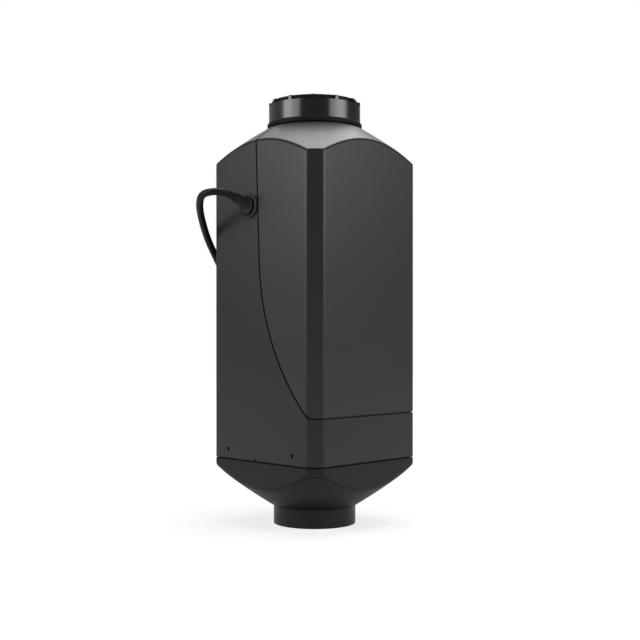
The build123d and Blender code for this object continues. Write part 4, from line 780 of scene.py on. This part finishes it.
class HEATER_OT_mounting(bpy.types.Operator):
    """Cut the threads of the mounting studs and finish the pipe ends and gaskets"""

    bl_idname = "heater.mounting"
    bl_label = "Mounting foot"

    def execute(self, context):
        sizes, colours = context.scene.heater_sizes, context.scene.heater_colours
        low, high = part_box("base_studs")
        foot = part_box("base_gasket")[0].x
        # Points round the thread and rows in each turn of it
        count, steps = 24, 8
        # How deep the thread is cut, how far the plain shank is turned down, and how far in
        # the stud's tip is chamfered
        root, shank, chamfer = 0.00055, 0.0003, 0.0007
        mesh_data = bmesh.new()
        radius, pitch = sizes.stud_radius, sizes.stud_pitch
        for y in (low.y + radius, high.y - radius):
            for z in (low.z + radius, high.z - radius):
                rings = []
                rows = int((high.x - low.x) / pitch * steps)
                for row in range(rows):
                    x = low.x + (row + 0.5) * pitch / steps
                    end = max(0, 1 - (x - low.x) / pitch) * chamfer
                    points = []
                    for i in range(count):
                        turn = 2 * math.pi * i / count
                        phase = (row / steps - i / count) % 1
                        depth = root * (1 - abs(2 * phase - 1)) if x < foot else shank
                        reach = radius - depth - end
                        points.append(
                            Vector((x, y + reach * math.cos(turn), z + reach * math.sin(turn)))
                        )
                    rings.append(points)
                skin_rings(mesh_data, rings)
        bmesh.ops.recalc_face_normals(mesh_data, faces=mesh_data.faces)
        finish_mesh(
            "threaded_studs", mesh_data, plated_steel("zinc_plated_studs", colours.zinc),
            "heater_body", "bright_steel", "base_studs",
        )
        give(
            heat_tinted_steel(
                "drawn_stainless_exhaust", colours.stainless, hot_height=0.15, reach=0.03
            ),
            "exhaust_stub",
        )
        # The fuel pipe ends well below this height, so it stays plain
        give(
            heat_tinted_steel(
                "drawn_stainless_fuel_pipe", colours.stainless, hot_height=0.30, reach=0.03
            ),
            "fuel_pipe",
        )
        give(
            moulded_plastic(
                "moulded_nylon_air_stub", colours.nylon, roughness=0.5, grain=0.0012,
                depth=0.0001,
            ),
            "air_intake_stub",
        )
        give(
            fibre_sheet("stamped_graphite_gasket", colours.graphite),
            "base_gasket", "exchanger_gasket", "blower_gasket",
        )
        return {"FINISHED"}


class HEATER_OT_burner(bpy.types.Operator):
    """Finish the castings, the flame tube and the other burner pieces"""

    bl_idname = "heater.burner"
    bl_label = "Exchanger and burner"

    def execute(self, context):
        colours = context.scene.heater_colours
        give(
            cast_aluminium("die_cast_aluminium", colours.aluminium),
            "heat_exchanger", "burner_head", "blower_housing", "blower_cover",
        )
        give(
            heat_tinted_steel(
                "rolled_stainless_flame_tube", colours.stainless, hot_height=0.17, reach=0.06
            ),
            "flame_tube", "evaporator", "glow_plug",
        )
        return {"FINISHED"}


class HEATER_OT_motor(bpy.types.Operator):
    """Finish the motor, the fasteners, the fans and the nylon pieces about them"""

    bl_idname = "heater.motor"
    bl_label = "Motor and fans"

    def execute(self, context):
        colours = context.scene.heater_colours
        give(
            plated_steel("zinc_plated_steel", colours.zinc),
            "motor_can", "motor_screws", "clamp_bolts", "lower_bearing", "upper_bearing",
            "rotor_shaft", "control_bracket", "sensor_clip", "lid_screws",
        )
        give(
            moulded_plastic(
                "moulded_nylon", colours.nylon, roughness=0.5, grain=0.0012, depth=0.0001
            ),
            "fan_shroud", "motor_cap", "control_case", "control_lid", "harness_header",
            "sensor_header", "overheat_sensor",
        )
        give(
            moulded_plastic(
                "moulded_polypropylene_fan", colours.fan, roughness=0.36, grain=0.0014,
                depth=0.00008,
            ),
            "fan_wheel", "combustion_impeller",
        )
        give(wound_armature("varnished_copper_and_laminations", colours.copper), "armature")
        give(sintered_ferrite("sintered_ferrite", colours.ferrite), "motor_magnets")
        return {"FINISHED"}


class HEATER_OT_electronics(bpy.types.Operator):
    """Finish the control board and the leads inside"""

    bl_idname = "heater.electronics"
    bl_label = "Board and leads"

    def execute(self, context):
        colours = context.scene.heater_colours
        give(solder_masked_board("solder_masked_board", colours.mask), "circuit_board")
        give(
            moulded_rubber("extruded_silicone_leads", colours.jacket, roughness=0.45, skin=1.2),
            "harness_lead", "motor_lead", "glow_plug_lead", "sensor_lead",
        )
        return {"FINISHED"}


def softbox(name, place, target, width, height, level, hot):
    """A soft area lamp whose face is this bright, turned to a target; its tube stands this
    share of the way across it and makes it brighter there."""
    data = bpy.data.lights.new(name, "AREA")
    data.shape = "RECTANGLE"
    data.size, data.size_y = width, height
    data.energy = level * math.pi * width * height
    data.use_nodes = True
    tree = data.node_tree
    face = add_node(tree, "ShaderNodeNewGeometry").outputs["Parametric"]
    across = add_node(tree, "ShaderNodeSeparateXYZ", {"Vector": face}).outputs["X"]
    beside = add_node(
        tree, "ShaderNodeMath", {0: across, 1: hot}, operation="SUBTRACT"
    ).outputs["Value"]
    away = add_node(tree, "ShaderNodeMath", {0: beside}, operation="ABSOLUTE").outputs["Value"]
    tube = add_node(
        tree, "ShaderNodeMapRange",
        {"Value": away, "From Max": 0.6, "To Min": 1.3, "To Max": 0.6},
        interpolation_type="SMOOTHSTEP",
    ).outputs["Result"]
    tree.links.new(tube, tree.nodes["Emission"].inputs["Strength"])
    lamp = bpy.data.objects.new(name, data)
    bpy.context.scene.collection.objects.link(lamp)
    lamp.location = place
    way = Vector(target) - Vector(place)
    lamp.rotation_euler = way.to_track_quat("-Z", "Y").to_euler()


def seen_directly(tree):
    """1 for what the camera, a mirror or glass sees, and 0 for what lights the object."""
    path = add_node(tree, "ShaderNodeLightPath").outputs
    both = add_node(
        tree, "ShaderNodeMath", {0: path["Is Camera Ray"], 1: path["Is Glossy Ray"]},
        operation="MAXIMUM",
    ).outputs["Value"]
    return add_node(
        tree, "ShaderNodeMath", {0: both, 1: path["Is Transmission Ray"]}, operation="MAXIMUM"
    ).outputs["Value"]


WHITE, BLACK = (1, 1, 1, 1), (0, 0, 0, 1)


def grey_card(name, turn, distance, width, low, high, level):
    """A card this bright, turned this far round the heater from the camera, that only
    reflections show."""
    material = new_material(
        name, Base_Color=BLACK, Specular_IOR_Level=0.0, Emission_Color=WHITE,
        Emission_Strength=level,
    )[0]
    mesh_data = bmesh.new()
    bmesh.ops.create_grid(mesh_data, x_segments=1, y_segments=1, size=0.5)
    card = mesh_object(name, mesh_data, material)
    angle = math.radians(turn - 45)
    card.location = (distance * math.cos(angle), distance * math.sin(angle), (low + high) / 2)
    card.rotation_euler = (math.radians(90), 0, angle + math.radians(90))
    card.scale = (width, high - low, 1)
    card.visible_camera = card.visible_diffuse = card.visible_shadow = False
    card.visible_transmission = False


# Name, place, target, width, height, how bright and how far across its tube stands
SOFTBOXES = (
    ("overhead_softbox", (0.0, 0.31, 1.75), (0, 0, 0.35), 1.8, 1.8, 2.3, 0.5),
    ("left_softbox", (-0.22, -0.83, 0.54), (0, 0, 0.25), 0.72, 0.36, 4.8, 0.3),
    ("right_softbox", (0.83, 0.22, 0.54), (0, 0, 0.25), 0.72, 0.36, 4.6, 0.6),
)
# Name, degrees round from the camera, distance, width, lower and upper edge, how bright
CARDS = (
    ("front_card", 0, 1.5, 2.2, 0.0, 2.1, 0.08),
    ("left_card", -122, 1.4, 1.6, 0.0, 1.25, 0.35),
    ("right_card", 122, 1.4, 1.6, 0.0, 1.25, 0.12),
    ("high_left_card", -90, 1.4, 2.2, 0.85, 2.05, 0.0),
    ("high_right_card", 90, 1.4, 2.2, 0.85, 2.05, 0.0),
    ("back_card", 180, 1.4, 1.6, 0.35, 1.3, 0.3),
    ("low_left_card", -75, 1.45, 1.2, 0.0, 0.3, 0.3),
    ("low_right_card", 75, 1.45, 1.2, 0.0, 0.3, 0.3),
)


class HEATER_OT_stage(bpy.types.Operator):
    """Lay the pale floor, hang the soft lights and stand the cards that show in the gloss"""

    bl_idname = "heater.stage"
    bl_label = "Stage"

    def execute(self, context):
        # The floor is white to the camera and in reflections from 1.2 m out, and a little
        # grey under the heater, with its shadow kept
        colour = (*context.scene.heater_colours.floor, 1)
        material, tree, coords = new_material(
            "matt_white_floor", Base_Color=colour, Roughness=0.9, Specular_IOR_Level=0.0,
            Emission_Color=WHITE,
        )
        radius = add_node(
            tree, "ShaderNodeVectorMath", {0: coords}, operation="LENGTH"
        ).outputs["Value"]
        paler = add_node(
            tree, "ShaderNodeMapRange",
            {"Value": radius, "From Min": 0.18, "From Max": 1.2, "To Min": 0.74},
            interpolation_type="SMOOTHSTEP",
        ).outputs["Result"]
        glow = add_node(
            tree, "ShaderNodeMath", {0: paler, 1: seen_directly(tree)}, operation="MULTIPLY"
        ).outputs["Value"]
        link_shader(tree, Emission_Strength=glow)
        mesh_data = bmesh.new()
        bmesh.ops.create_circle(mesh_data, cap_ends=True, segments=96, radius=3)
        mesh_object("floor", mesh_data, material)

        # The room is white to look at, and lights the heater only a little
        world = bpy.data.worlds.new("studio")
        world.use_nodes = True
        context.scene.world = world
        tree = world.node_tree
        back = tree.nodes["Background"]
        back.inputs["Color"].default_value = WHITE
        level = add_node(
            tree, "ShaderNodeMapRange", {"Value": seen_directly(tree), "To Min": 0.2}
        ).outputs["Result"]
        tree.links.new(level, back.inputs["Strength"])
        context.scene.view_settings.view_transform = "Standard"

        for row in SOFTBOXES:
            softbox(*row)
        for row in CARDS:
            grey_card(*row)
        return {"FINISHED"}


class HEATER_PT_panel(bpy.types.Panel):
    """The heater's pieces, sizes and colours"""

    bl_label = "Diesel Air Heater"
    bl_space_type = "VIEW_3D"
    bl_region_type = "UI"
    bl_category = "Heater"

    def draw(self, context):
        for step in STEPS:
            self.layout.operator(step.bl_idname)
        for group in (context.scene.heater_sizes, context.scene.heater_colours):
            box = self.layout.box()
            for name in group.__annotations__:
                box.prop(group, name)


STEPS = (
    HEATER_OT_camera,
    HEATER_OT_cable,
    HEATER_OT_casing,
    HEATER_OT_cap,
    HEATER_OT_grommet,
    HEATER_OT_mounting,
    HEATER_OT_burner,
    HEATER_OT_motor,
    HEATER_OT_electronics,
    HEATER_OT_stage,
)
CLASSES = (HeaterSizes, HeaterColours, *STEPS, HEATER_PT_panel)


def register():
    for each in CLASSES:
        bpy.utils.register_class(each)
    bpy.types.Scene.heater_sizes = bpy.props.PointerProperty(type=HeaterSizes)
    bpy.types.Scene.heater_colours = bpy.props.PointerProperty(type=HeaterColours)


def unregister():
    del bpy.types.Scene.heater_colours
    del bpy.types.Scene.heater_sizes
    for each in reversed(CLASSES):
        bpy.utils.unregister_class(each)


def main():
    """Dress the whole heater."""
    register()
    for step in STEPS:
        group, name = step.bl_idname.split(".")
        getattr(getattr(bpy.ops, group), name)()


if __name__ == "__main__":
    main()
